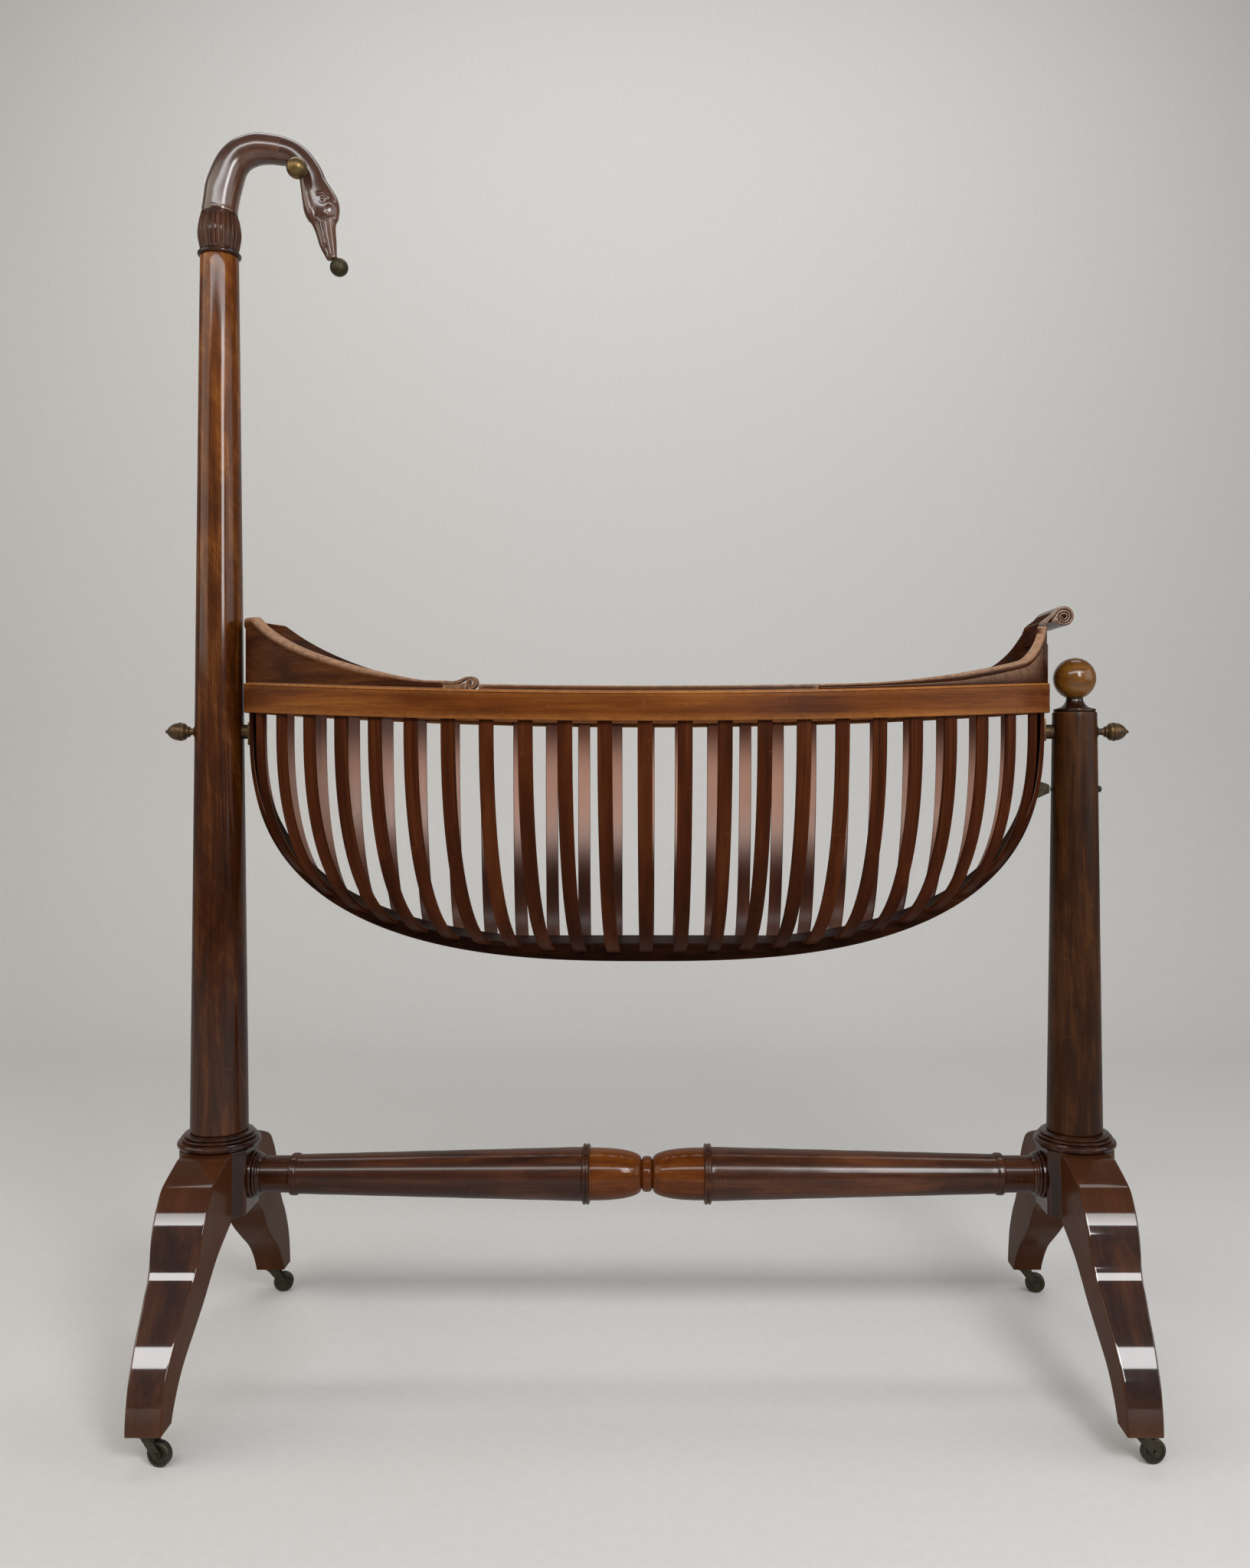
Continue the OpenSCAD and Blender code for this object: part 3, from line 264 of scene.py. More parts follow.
# %% The wood recipe
def mahogany(name, grain, tones, rough=0.38, coat=0.4, flame=0.0, seed=0.0, upper_tone_and_light=None, haze=0.3,
             gloss=0.03, polish=None, bare=None, painted_sheen=None, depth_of_polish=1.5, worn_and_lit=None):
    """One wood. grain says where its length lies: Z, X, or own for the grain attribute.
    tones: its dark, middle and light colour. flame: how much the figure leans and ripples.
    The tint towards the top: from where to where, in metres up, a lighter tint comes in; it is
    partly the wood's tone and partly painted light. haze: roughness of the polish.
    gloss: shine of the wood under it. polish: the attribute that says where the coat is full.
    bare: colour where it isn't. The painted sheen: attribute, heights and colour of a pale band
    that stands in for the reflection of the light on those faces.
    The edge colour: the colour of the edges that hands have rubbed, and of the edges where a
    highlight is painted in."""
    dark, middle, light = tones
    f = Finish(name)
    place = f.attribute("grain") if grain == "own" else f.position()
    x, y, z = f.axes(place)
    along, across, depth = (z, x, y) if grain == "Z" else (x, y, z)
    fibre = f.join(along + seed, across + seed * 0.37, depth + seed * 0.71)
    drift = f.noise(f.scaled(fibre, DRIFT), detail=2, output="Color")
    bent = f.shifted(fibre, f.scaled(f.shifted(drift, TO_MIDDLE), BEND))
    streaks = f.noise(f.scaled(bent, STREAKS), detail=5, roughness=0.62)
    bx, by, bz = f.axes(bent)
    leaning = f.join(bx + by * flame, by, bz)
    figure = f.noise(f.scaled(leaning, FIGURE), detail=4, distortion=0.4 + flame)
    ripple = f.noise(f.scaled(leaning, RIPPLE), detail=2, distortion=0.8)
    pores = f.noise(f.scaled(bent, PORES), detail=1, roughness=0.4).between(0.60, 0.74)
    clouds = f.noise(fibre, scale=4.5, detail=3)
    tone = streaks * 0.34 + figure * 0.72 + clouds * 0.42 + ripple * (0.16 * flame)
    colour = f.ramp(tone - (0.24 + 0.08 * flame), [(0.26, dark), (0.5, middle), (0.76, light)])
    # Lighter and more golden towards the top: partly the wood's own tone, partly painted light.
    if upper_tone_and_light:
        low, high, tint = upper_tone_and_light
        tinted = f.mix(1.0, colour, tint, "MULTIPLY")
        colour = f.mix(z.between(low, high) * 0.8, colour, tinted)
    colour = f.mix(pores * 0.5, colour, [c * 0.3 for c in dark])
    # Edges marked in the wear attribute turn lighter: wear from hands, and on the boards' lips, the
    # band's edges and the foot scroll also painted highlight.
    wear = f.attribute("wear", "Fac")
    scuffs = f.noise(fibre, scale=130, detail=4, roughness=0.7)
    rubbed_and_lit = (wear * (scuffs * 1.5 - 0.1)).clamp()
    worn_and_lit = worn_and_lit or [c * 1.35 + bare_wood for c, bare_wood in zip(light, (0.050, 0.034, 0.017))]
    colour = f.mix(rubbed_and_lit * 0.75, colour, worn_and_lit)
    scratch = f.noise(f.scaled(fibre, SCRATCHES), detail=1, distortion=1.2).between(0.745, 0.77)
    colour = f.mix(scratch * 0.2, colour, [c * 1.6 + 0.03 for c in light])
    # Painted sheen: a pale band between two heights on the marked faces stands in for the
    # reflection of the light there.
    if painted_sheen:
        face, low, high, pale = painted_sheen
        height_up = f.axes(f.position())[2]
        share = height_up.between(low, low + PAINTED_SHEEN_LOW_EDGE)
        share = share * (1 - height_up.between(high - PAINTED_SHEEN_TOP_EDGE, high))
        share = share * (0.55 + clouds * 0.5) * f.attribute(face, "Fac")
        colour = f.mix(share.clamp(), colour, pale)
    if polish:
        shine = f.attribute(polish, "Fac")
        coat = (shine * 0.94 + 0.06) * coat
        if bare:
            colour = f.mix((1 - shine) * 0.6, colour, bare)
    waves = f.noise(f.scaled(fibre, WAVES), detail=2)
    height = waves * 0.45 + clouds * 0.25 - pores * 0.12 + streaks * 0.08 - scratch * 0.25
    roughness = (clouds * 0.16 + streaks * 0.12 + pores * 0.2 + rubbed_and_lit * 0.2 + rough - 0.1).clamp()
    return f.surface(Base_Color=colour, Roughness=roughness, Specular_IOR_Level=gloss,
                     Normal=f.bump(BUMP_STRENGTH, BUMP_DEPTH, height),
                     Coat_Weight=coat, Coat_Roughness=haze, Coat_IOR=depth_of_polish)


# %% The tones of the woods
# Dark, middle and light, in linear red, green and blue.
DARK = ((0.006, 0.0020, 0.0011), (0.022, 0.0066, 0.0030), (0.070, 0.0220, 0.0080))
WARM = ((0.040, 0.0085, 0.0011), (0.112, 0.0300, 0.0040), (0.225, 0.0780, 0.0130))
AMBER = ((0.032, 0.0062, 0.0007), (0.088, 0.0205, 0.0022), (0.180, 0.0560, 0.0070))
RED = ((0.012, 0.0024, 0.0007), (0.040, 0.0085, 0.0020), (0.092, 0.0240, 0.0065))
GOLD = ((0.029, 0.0092, 0.0012), (0.122, 0.0450, 0.0062), (0.255, 0.1090, 0.0190))
EBONY = ((0.004, 0.0014, 0.0008), (0.013, 0.0041, 0.0019), (0.042, 0.0135, 0.0050))
CHESTNUT = ((0.006, 0.0018, 0.0005), (0.026, 0.0078, 0.0017), (0.080, 0.0280, 0.0062))
SABLE = ((0.009, 0.0028, 0.0014), (0.038, 0.0110, 0.0042), (0.110, 0.0360, 0.0130))
UMBER = ((0.009, 0.0022, 0.0006), (0.036, 0.0088, 0.0018), (0.105, 0.0340, 0.0080))
HAZEL = ((0.017, 0.0056, 0.0028), (0.062, 0.0225, 0.0115), (0.150, 0.0600, 0.0310))
print("tones: 10")

# %% The woods of the stand
# The head post turns lighter and golden from 0.75 m to 1.75 m up: partly its own tone, partly
# painted light where the key light falls.
WOOD_HEAD_POST = mahogany("mahogany_head_post", "Z", UMBER, coat=0.36, flame=1.2, seed=3.1,
                          upper_tone_and_light=(0.75, 1.75, (3.5, 3.9, 2.6)), haze=0.10, gloss=0.02,
                          depth_of_polish=1.7)
WOOD_FOOT_POST = mahogany("mahogany_foot_post", "Z", CHESTNUT, rough=0.4, coat=0.26, flame=0.8,
                          seed=7.7, gloss=0.04)
WOOD_LEG = mahogany("mahogany_leg", "own", DARK, rough=0.3, coat=0.95, seed=1.3, gloss=0.02,
                    haze=0.05, polish="polish", bare=(0.085, 0.028, 0.009), depth_of_polish=1.75)
WOOD_BLOCK = mahogany("mahogany_block", "Z", DARK, rough=0.34, seed=2.2, gloss=0.04, haze=0.1,
                      depth_of_polish=1.7)
WOOD_STRETCHER = mahogany("mahogany_stretcher", "X", SABLE, coat=0.24, flame=0.4, seed=5.2,
                          haze=0.17, gloss=0.04, depth_of_polish=1.9)
WOOD_CUP = mahogany("mahogany_cup", "X", AMBER, rough=0.36, coat=0.26, seed=2.9, haze=0.10,
                    gloss=0.02, depth_of_polish=1.7)
WOOD_BALL = mahogany("mahogany_ball", "X", GOLD, rough=0.34, coat=0.6, seed=1.9, haze=0.15,
                     depth_of_polish=1.6)
WOOD_SWAN = mahogany("mahogany_swan", "own", HAZEL, rough=0.34, coat=0.8, seed=9.4, haze=0.21,
                     gloss=0.05, depth_of_polish=1.75)
WOOD_COLLAR = mahogany("mahogany_collar", "Z", HAZEL, rough=0.42, coat=0.2, seed=9.9, haze=0.25,
                       gloss=0.04)
print("woods of the stand: 9")

# %% The woods of the basket
WOOD_KEEL = mahogany("mahogany_keel", "X", EBONY, rough=0.45, coat=0.03, seed=2.4, gloss=0.01)
WOOD_RIM = mahogany("mahogany_rim", "own", WARM, rough=0.4, coat=0.2, seed=4.6)
# The boards' pale edge colour lightens their lips: partly wear, partly painted highlight where the
# lip catches the light from above.
WOOD_BOARD = mahogany("mahogany_board", "own", UMBER, rough=0.42, coat=0.12, flame=0.3, seed=6.3,
                      haze=0.22, worn_and_lit=(0.50, 0.30, 0.185))
# The scroll's pale edge colour: partly wear, partly painted highlight on the edges of the roll.
WOOD_SCROLL = mahogany("mahogany_scroll", "own", UMBER, rough=0.42, coat=0.7, flame=0.3, seed=6.9,
                       haze=0.16, gloss=0.0, polish="polish", worn_and_lit=(0.40, 0.23, 0.14))
# Painted sheen on the laths' inner faces: a pale band from 0.79 to 1.075 m up stands in for the
# reflection of the light on them.
WOOD_LATH = mahogany("mahogany_lath", "own", RED, rough=0.45, coat=0.5, seed=8.8, polish="inner",
                     painted_sheen=("inner", 0.79, 1.075, (0.43, 0.235, 0.170)))
print("woods of the basket: 5")

# %% [markdown]
# ## Brass and bronze
# The knob, the acorns and the plates are brass that has been lacquered and has gone brown
# in its hollows. The casters have turned nearly black. Metal takes its colour from what
# it reflects, so the patina is a second, duller shade that noise lays over the bright one.

# %% The metals
def old_metal(name, bright, dull, share, rough, seed):
    """share: how much of the metal the dull patina covers."""
    f = Finish(name)
    place = f.shifted(f.position(), (seed, seed, seed))
    blotches = f.noise(place, scale=42, detail=5, roughness=0.65)
    grime = f.noise(place, scale=310, detail=3)
    wear = f.attribute("wear", "Fac")
    covered = (blotches * 0.8 + grime * 0.45 + share - wear * 0.55).between(0.55, 0.95)
    pits = f.noise(place, scale=900, detail=2)
    return f.surface(Base_Color=f.mix(covered, bright, dull), Metallic=1.0 - covered * 0.35,
                     Roughness=(covered * 0.28 + grime * 0.15 + rough).clamp(),
                     Normal=f.bump(0.25, 0.0006, grime * 0.6 + pits * 0.25))


BRASS = old_metal("old_brass", (0.24, 0.155, 0.060), (0.050, 0.033, 0.012), 0.1, 0.20, 2.0)
BRASS_DARK = old_metal("dark_brass", (0.15, 0.088, 0.040), (0.035, 0.021, 0.011), 0.16, 0.26, 5.0)
BRASS_GREEN = old_metal("green_brass", (0.10, 0.082, 0.042), (0.022, 0.019, 0.010), 0.16, 0.26, 6.0)
BRONZE = old_metal("caster_bronze", (0.075, 0.066, 0.045), (0.018, 0.018, 0.013), 0.1, 0.30, 8.0)
print("metals: 4")

# %% [markdown]
# ## Meshes that stand for solids
# Every rebuilt piece goes through one helper.

# %% Objects and values on vertices
PROUD_FROM, PROUD_GAIN = 0.10, 3.2  # how proud an edge is when it starts to wear, how fast


def place_object(name, data):
    obj = bpy.data.objects.new(name, data)
    bpy.context.scene.collection.objects.link(obj)
    return obj


def store(mesh, name, values):
    """Stores a number for each vertex, where a finish can read it."""
    mesh.attributes.new(name, "FLOAT", "POINT").data.foreach_set("value", values)


def store_grain(mesh, places):
    """Stores where each vertex lies in the wood: along the grain, across it, into it."""
    layer = mesh.attributes.new("grain", "FLOAT_VECTOR", "POINT")
    layer.data.foreach_set("vector", [c for place in places for c in place])


def measure_wear(mesh, reach):
    """Stores how convex the surface is at each vertex, from 0 to 1."""
    bm = bmesh.new()
    bm.from_mesh(mesh)
    bm.normal_update()
    values = []
    for v in bm.verts:
        total = 0.0
        for e in v.link_edges:
            d = e.other_vert(v).co - v.co
            if d.length > 1e-7:
                total -= d.normalized().dot(v.normal)
        share = total / max(1, len(v.link_edges))
        values.append(clamp01((share - PROUD_FROM) * PROUD_GAIN * reach))
    bm.free()
    store(mesh, "wear", values)


def add_wear_and_sheen(obj, values):
    """Adds to the wear that was measured: where hands have rubbed more, and where a highlight on an
    edge is painted in.
    """
    layer = obj.data.attributes["wear"]
    for item, value in zip(layer.data, values):
        item.value = min(1.0, item.value + value)


# %% The helper for pieces
def piece(name, verts, faces, material, body, nodes, angle=38, grain=None):
    """A new mesh of one body, in the place of the solids that nodes names."""
    mesh = bpy.data.meshes.new(name)
    mesh.from_pydata([tuple(v) for v in verts], [], faces)
    if grain:
        store_grain(mesh, grain)
    bm = bmesh.new()
    bm.from_mesh(mesh)
    bmesh.ops.recalc_face_normals(bm, faces=bm.faces[:])
    bm.to_mesh(mesh)
    bm.free()
    return finish_piece(name, mesh, material, body, nodes, angle)


def finish_piece(name, mesh, material, body, nodes, angle=38, wear=1.0):
    """Edges sharper than angle stay sharp; wear says how much they are rubbed."""
    mesh.shade_smooth()
    mesh.set_sharp_from_angle(angle=math.radians(angle))
    measure_wear(mesh, wear)
    mesh.materials.clear()
    mesh.materials.append(material)
    obj = place_object(name, mesh)
    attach(obj, body)
    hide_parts(*nodes)
    return obj


# %% Lines
def round_corners(points, radius, steps=3):
    """Rounds each corner of a line with a short curve, so that it can catch light.
    A point's third number, where it has one, is its own radius."""
    out = [Vector(points[0][:2])]
    for before, corner, after in zip(points, points[1:], points[2:]):
        a, p, b = (Vector(point[:2]) for point in (before, corner, after))
        r = corner[2] if len(corner) > 2 else radius
        ra, rb = min(r, (a - p).length * 0.45), min(r, (b - p).length * 0.45)
        start, end = p + (a - p).normalized() * ra, p + (b - p).normalized() * rb
        for k in range(steps + 1):
            t = k / steps
            out.append(start * (1 - t) ** 2 + p * 2 * t * (1 - t) + end * t ** 2)
    return out + [Vector(points[-1][:2])]


def smooth_line(points, steps):
    """Catmull-Rom curve through points of any size."""
    pts = [Vector(p) for p in points]
    out = []
    for i in range(len(pts) - 1):
        a, b = pts[max(i - 1, 0)], pts[i]
        c, d = pts[i + 1], pts[min(i + 2, len(pts) - 1)]
        for k in range(steps):
            t = k / steps
            out.append(0.5 * (2 * b + (c - a) * t + (2 * a - 5 * b + 4 * c - d) * t * t
                              + (3 * b - a - 3 * c + d) * t ** 3))
    out.append(pts[-1])
    return out


def even_line(points, count):
    """The same line with its points spread evenly along it."""
    lengths = [0.0]
    for a, b in zip(points, points[1:]):
        lengths.append(lengths[-1] + (b - a).length)
    out, j = [], 0
    for i in range(count):
        want = lengths[-1] * i / (count - 1)
        while j < len(lengths) - 2 and lengths[j + 1] < want:
            j += 1
        gap = max(1e-12, lengths[j + 1] - lengths[j])
        out.append(points[j].lerp(points[j + 1], min(1.0, (want - lengths[j]) / gap)))
    return out


def tube_faces(rings, sides, wrap=False):
    """Faces of a tube of rings of vertices. It has two end caps, or wrap joins its ends."""
    faces = []
    for i in range(rings if wrap else rings - 1):
        for k in range(sides):
            m, j = (k + 1) % sides, (i + 1) % rings
            faces.append((i * sides + k, i * sides + m, j * sides + m, j * sides + k))
    if not wrap:
        faces.append(tuple(range(sides)))
        faces.append(tuple((rings - 1) * sides + k for k in range(sides - 1, -1, -1)))
    return faces


print("mesh helpers ready")

# %% [markdown]
# ## Turned pieces
# Posts, rings, the stretcher, the ball and the acorns were all made on a lathe. In Blender
# a lathe is a profile of height and radius, spun round its axis. The profiles are the
# solids' own, with each corner rounded a little, as sandpaper leaves it.

# %% The lathe
ALONG = {
    "Z": Matrix.Identity(4),
    "+X": Matrix.Rotation(math.radians(90), 4, "Y"),
    "-X": Matrix.Rotation(math.radians(-90), 4, "Y"),
}


def lathe(profile, origin, along, radius, sides):
    """Vertices and faces of a turned shape. A radius of 0 at an end closes it."""
    turn = along if isinstance(along, Matrix) else ALONG[along]
    verts, rows = [], []
    for h, r in round_corners(profile, radius):
        if r < 1e-6:
            rows.append([len(verts)])
            verts.append(Vector(origin) + (turn @ Vector((0, 0, h))))
            continue
        rows.append(list(range(len(verts), len(verts) + sides)))
        for k in range(sides):
            t = 2 * math.pi * k / sides
            p = turn @ Vector((r * math.cos(t), r * math.sin(t), h))
            verts.append(Vector(origin) + p)
    faces = []
    for a, b in zip(rows, rows[1:]):
        for k in range(sides):
            m = (k + 1) % sides
            if len(a) == 1 and len(b) == 1:
                break
            if len(a) == 1:
                faces.append((a[0], b[k], b[m]))
            elif len(b) == 1:
                faces.append((a[k], a[m], b[0]))
            else:
                faces.append((a[k], a[m], b[m], b[k]))
    return verts, faces


def turned(name, profile, origin, along, material, nodes,
           body="stand", radius=0.0008, sides=96, angle=50):
    """A turned piece. Its profile of (height, radius, rounding) is in millimetres."""
    line = [(h * MM, r * MM, *[c * MM for c in rest]) for h, r, *rest in profile]
    verts, faces = lathe(line, origin, along, radius, sides)
    return piece(name, verts, faces, material, body, nodes, angle)


# %% The two posts
HAND_WOBBLE = 0.10
HEAD_POST_R = 46.5, 31
FOOT_POST_R = 45, 36


def tapered(base_r, tip_r, length, rows=60):
    """Straight taper with the faint unevenness of hand turning."""
    line = [(0, 0), (0, base_r - 1.5, 0.2)]
    for i in range(rows + 1):
        t = i / rows
        swing = HAND_WOBBLE * (math.sin(t * 23) * 0.5 + math.sin(t * 9.3 + 1) * 0.7)
        rise = min(length - 0.02, max(1.2, t * length))
        line.append((rise, base_r + (tip_r - base_r) * t + swing, 2.0))
    return line + [(length, 0)]


turned("head_post_turned", tapered(*HEAD_POST_R, 1448), (-POST_X, 0, POST_BASE_Z), "Z",
       WOOD_HEAD_POST, ["head_post"])
turned("foot_post_turned", tapered(*FOOT_POST_R, 693.5), (POST_X, 0, POST_BASE_Z), "Z",
       WOOD_FOOT_POST, ["foot_post"])
print("posts: 2")

# %% Base rings, neck ring and cap
def half_round(h0, h1, r, bulge, steps=8):
    """Profile of a bead between two heights."""
    return [(h0 + (h1 - h0) * (0.5 - 0.5 * math.cos(math.pi * i / steps)),
             r + bulge * math.sin(math.pi * i / steps), 0.1) for i in range(steps + 1)]


BASE_RING = ([(0, 40), (0, 60)] + half_round(0.2, 12.6, 60, 6.5)
             + [(13.4, 58)] + half_round(13.6, 18, 57.5, 3) + [(18.4, 56)]
             + half_round(18.8, 22.6, 53.5, 2.8) + [(23, 51.5), (24, 50), (24, 40)])
for side, node in ((-1, "head_base_ring"), (1, "foot_base_ring")):
    turned(f"{node}_turned", BASE_RING, (side * POST_X, 0, HUB_TOP_Z), "Z", WOOD_BLOCK, [node],
           radius=0.0004)
NECK_RING = [(0, 25), (0, 30)] + half_round(0.2, 7.8, 31, 4.0) + [(8, 30), (8, 25)]
turned("neck_ring_turned", NECK_RING, (-POST_X, 0, HEAD_POST_TOP_Z + SEAT / 2), "Z", WOOD_BLOCK,
       ["neck_ring"], radius=0.0002)
CAP = [(0, 0), (0, 33), (1.2, 34), (4.3, 34), (5.5, 33), (5.6, 27.5), (7, 26.8)]
CAP += [(5.5 + 18 * t, 13.5 + 13.3 * (1 - t) ** 2.4, 2.0)
        for t in (0.12, 0.25, 0.4, 0.6, 0.8, 0.93)]
CAP += [(23.2, 14.2), (23.4, 13), (23.4, 0)]
turned("post_cap_turned", CAP, (POST_X, 0, FOOT_POST_TOP_Z + SEAT / 2), "Z", WOOD_BLOCK,
       ["post_cap"])
print("rings and cap: 4")

# %% The ball finial
BALL_R, BALL_FOOT_R = 34.5, 13
CAP_H = 0.0235


def ball_profile(centre, r, start, steps, ease=0.4, groove_at=None):
    """The round of a ball, from an angle below its middle to its top."""
    line = []
    for i in range(1, steps):
        t = math.radians(start + (90 - start) * i / steps)
        groove = 0.35 * math.exp(-((i - groove_at) / 0.8) ** 2) if groove_at else 0.0
        line.append((centre + r * math.sin(t), r * math.cos(t) - groove, ease))
    return line + [(centre + r, 0)]


ball_centre = math.sqrt(BALL_R ** 2 - BALL_FOOT_R ** 2)
ball = [(0, 0), (0, 12.8, 0.3)] + ball_profile(ball_centre, BALL_R, -68, 40, ease=0.6)
turned("finial_ball_turned", ball, (POST_X, 0, FOOT_POST_TOP_Z + SEAT + CAP_H), "Z", WOOD_BALL,
       ["finial_ball"], sides=128, angle=60)
print("finial: 1")

# %% The stretcher
CUP_LEN, NECK_R, CUP_R = 85.0, 23.5, 42.0
SHAFT_START, OUTER_RING, SHAFT_END, SHAFT_ROWS = 107.5, 577.0, 635.7, 40
CUPS_END = 0.0942


def cup_radius(t):
    return NECK_R + (CUP_R - NECK_R) * (1 - (1 - t) ** 2.3) ** (1 / 2.3)


# One half of the profile from the central bead outwards: the bead, a cup, its double ring,
# the tapered shaft, and the ring near its end.
half = [(0.2, 28.5, 0.4), (3, 28.4), (5.6, 27.6), (7.8, 25.8), (8.8, 23.2, 0.4), (9.4, 22.8)]
half += [(9.5 + CUP_LEN * t, cup_radius(t), 1.5) for t in [(i / 16) ** 2 for i in range(1, 16)]]
half += [(94.0, 41.9, 0.6), (94.3, 44.8, 0.5), (95.4, 47.6), (96.8, 48.8, 0.8), (98.6, 48.8, 0.8),
         (99.6, 47.2, 0.3), (101.2, 47.2, 0.3), (102.2, 48.8, 0.8), (104.0, 48.8, 0.8),
         (105.6, 47.6), (106.5, 45.0, 0.5), (106.8, 43.1, 0.4)]
half += [(SHAFT_START + (OUTER_RING - SHAFT_START) * i / SHAFT_ROWS,
          43 - 11.5 * i / SHAFT_ROWS + 0.12 * math.sin(i * 0.9), 2) for i in range(1, SHAFT_ROWS)]
half += [(OUTER_RING - 0.2, 31.6, 0.5), (OUTER_RING, 32.8, 0.4), (OUTER_RING + 2.4, 34, 1.2),
         (OUTER_RING + 9.6, 34, 1.2), (OUTER_RING + 12, 32.8, 0.4), (OUTER_RING + 12.2, 29.7, 0.5),
         (SHAFT_END, 29.5, 0.4)]
whole = [(-SHAFT_END, 0)] + [(-h, *rest) for h, *rest in reversed(half)] + half + [(SHAFT_END, 0)]
stretcher = turned("stretcher_turned", whole, (0, 0, STRETCHER_Z), "+X", WOOD_STRETCHER,
                   ["stretcher"])
stretcher.data.materials.append(WOOD_CUP)
for polygon in stretcher.data.polygons:
    polygon.material_index = int(abs(polygon.center.x) < CUPS_END)
FLANGE = ([(0, 0), (0, 37.4, 0.6), (1.2, 38), (4.6, 38), (5.7, 37), (5.9, 33.2, 0.4)]
          + half_round(6.4, 11.2, 33.6, 2.6)
          + [(11.6, 33.2, 0.3), (13.2, 34.4, 0.6), (14.8, 33, 0.6), (15.4, 30.8, 0.5),
             (18.6, 30.4), (18.6, 0)])
for side, node in ((-1, "head_flange"), (1, "foot_flange")):
    turned(f"{node}_turned", FLANGE, (side * (POST_X - HUB_FACE), 0, STRETCHER_Z),
           "+X" if side < 0 else "-X", WOOD_BLOCK, [node], radius=0.0005)
print("stretcher and flanges: 3")

# %% Acorn bolts
ACORN_LEN, ACORN_R, ACORN_REACH = 42.0, 15.5, 90
BOLT_R, BOLT_END = 6, 640.3
POST_GAP = 0.2
# Shares of the acorn's length and radius, from its collar to its tip.
ACORN = [(0.0, 0.40), (0.03, 0.55), (0.06, 0.60), (0.09, 0.52), (0.13, 0.62), (0.22, 0.88),
         (0.31, 0.955), (0.34, 0.90), (0.36, 0.97), (0.40, 1.0), (0.45, 0.98), (0.47, 0.90),
         (0.50, 0.93), (0.58, 0.90), (0.68, 0.80), (0.77, 0.65), (0.85, 0.46), (0.89, 0.27),
         (0.92, 0.20), (0.95, 0.20), (0.98, 0.15), (1.0, 0.0)]
for side, node, post_r in ((-1, "head_pivot_bolt", 39.5), (1, "foot_pivot_bolt", 36.4)):
    shank = ACORN_REACH - ACORN_LEN - post_r - POST_GAP
    run = POST_X / MM + post_r - BOLT_END
    line = [(-run, 0), (-run, BOLT_R, 0.5), (-0.2, BOLT_R, 0.1), (0, 9, 0.4), (1.6, 9, 0.4),
            (2.2, 5.2, 0.4)]
    line += [(shank + p * ACORN_LEN, q * ACORN_R, 0.5) for p, q in ACORN]
    turned(f"{node}_acorn", line, (side * (POST_X + post_r * MM + POST_GAP * MM), 0, PIVOT_Z),
           "+X" if side > 0 else "-X", BRASS_DARK, [node], radius=0.0003, sides=64)
print("bolts: 2")

# %% The knob at the throat and the ball in the beak
KNOB_R, KNOB_CENTRE = 17.0, 20
BEAK_BALL_R, BEAK_BALL_CENTRE = 15.0, 15.9
# Where they stand, from the foot of the swan's neck: across and up.
THROAT = (0.14875, 0.07125)
BEAK = (0.19093, -0.07374)


def on_swan(spot, turn, shift):
    """A place on the swan, moved by a shift that is turned with the piece."""
    return Vector((-POST_X + spot[0], 0, SWAN_NECK_Z + spot[1])) + turn @ Vector(shift)


knob = [(0, 0), (0, 5.6, 0.3), (1.2, 6.6, 0.4), (2.6, 6.6, 0.4), (3.2, 5.0, 0.3), (4.0, 5.0, 0.3)]
knob += ball_profile(KNOB_CENTRE, KNOB_R, -72, 36, groove_at=14)
tilt = Matrix.Rotation(math.radians(-15), 4, "Z") @ Matrix.Rotation(math.radians(106), 4, "X")
turned("veil_knob_turned", knob, on_swan(THROAT, tilt, (0, 0, 0.01979)), tilt, BRASS,
       ["veil_knob"], sides=72)

ball = [(0, 0), (0, 3.4, 0.3)] + ball_profile(BEAK_BALL_CENTRE, BEAK_BALL_R, -76, 36)
droop = Matrix.Rotation(math.radians(164.75), 4, "Y")
turned("beak_ball_turned", ball, on_swan(BEAK, droop, (-0.0036, 0, 0)), droop, BRASS_GREEN,
       ["beak_ball"], sides=72)
print("knob and ball: 2")

# %% [markdown]
# ## Edges that a hand has eased
# Some solids have the right shape and only lack soft edges. A copy is merged, its flat
# triangles are joined into whole faces, and its sharp edges get a narrow round.

# %% Bevelled copies of the plain solids
FLAT_WITHIN, SHARP_FROM = math.radians(1.5), math.radians(30)


def eased(node, width, material, body, segments=2):
    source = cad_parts[node]
    bm = bmesh.new()
    bm.from_mesh(source.data)
    bmesh.ops.remove_doubles(bm, verts=bm.verts[:], dist=1e-5)
    bmesh.ops.dissolve_limit(bm, angle_limit=FLAT_WITHIN, verts=bm.verts[:], edges=bm.edges[:])
    sharp = [e for e in bm.edges
             if len(e.link_faces) == 2 and e.calc_face_angle(0) > SHARP_FROM]
    bmesh.ops.bevel(bm, geom=sharp, offset=width, segments=segments, profile=0.6,
                    affect="EDGES", clamp_overlap=True)
    bmesh.ops.recalc_face_normals(bm, faces=bm.faces[:])
    mesh = bpy.data.meshes.new(node + "_eased")
    bm.to_mesh(mesh)
    bm.free()
    return finish_piece(node + "_eased", mesh, material, body, [node], angle=35, wear=0.4)


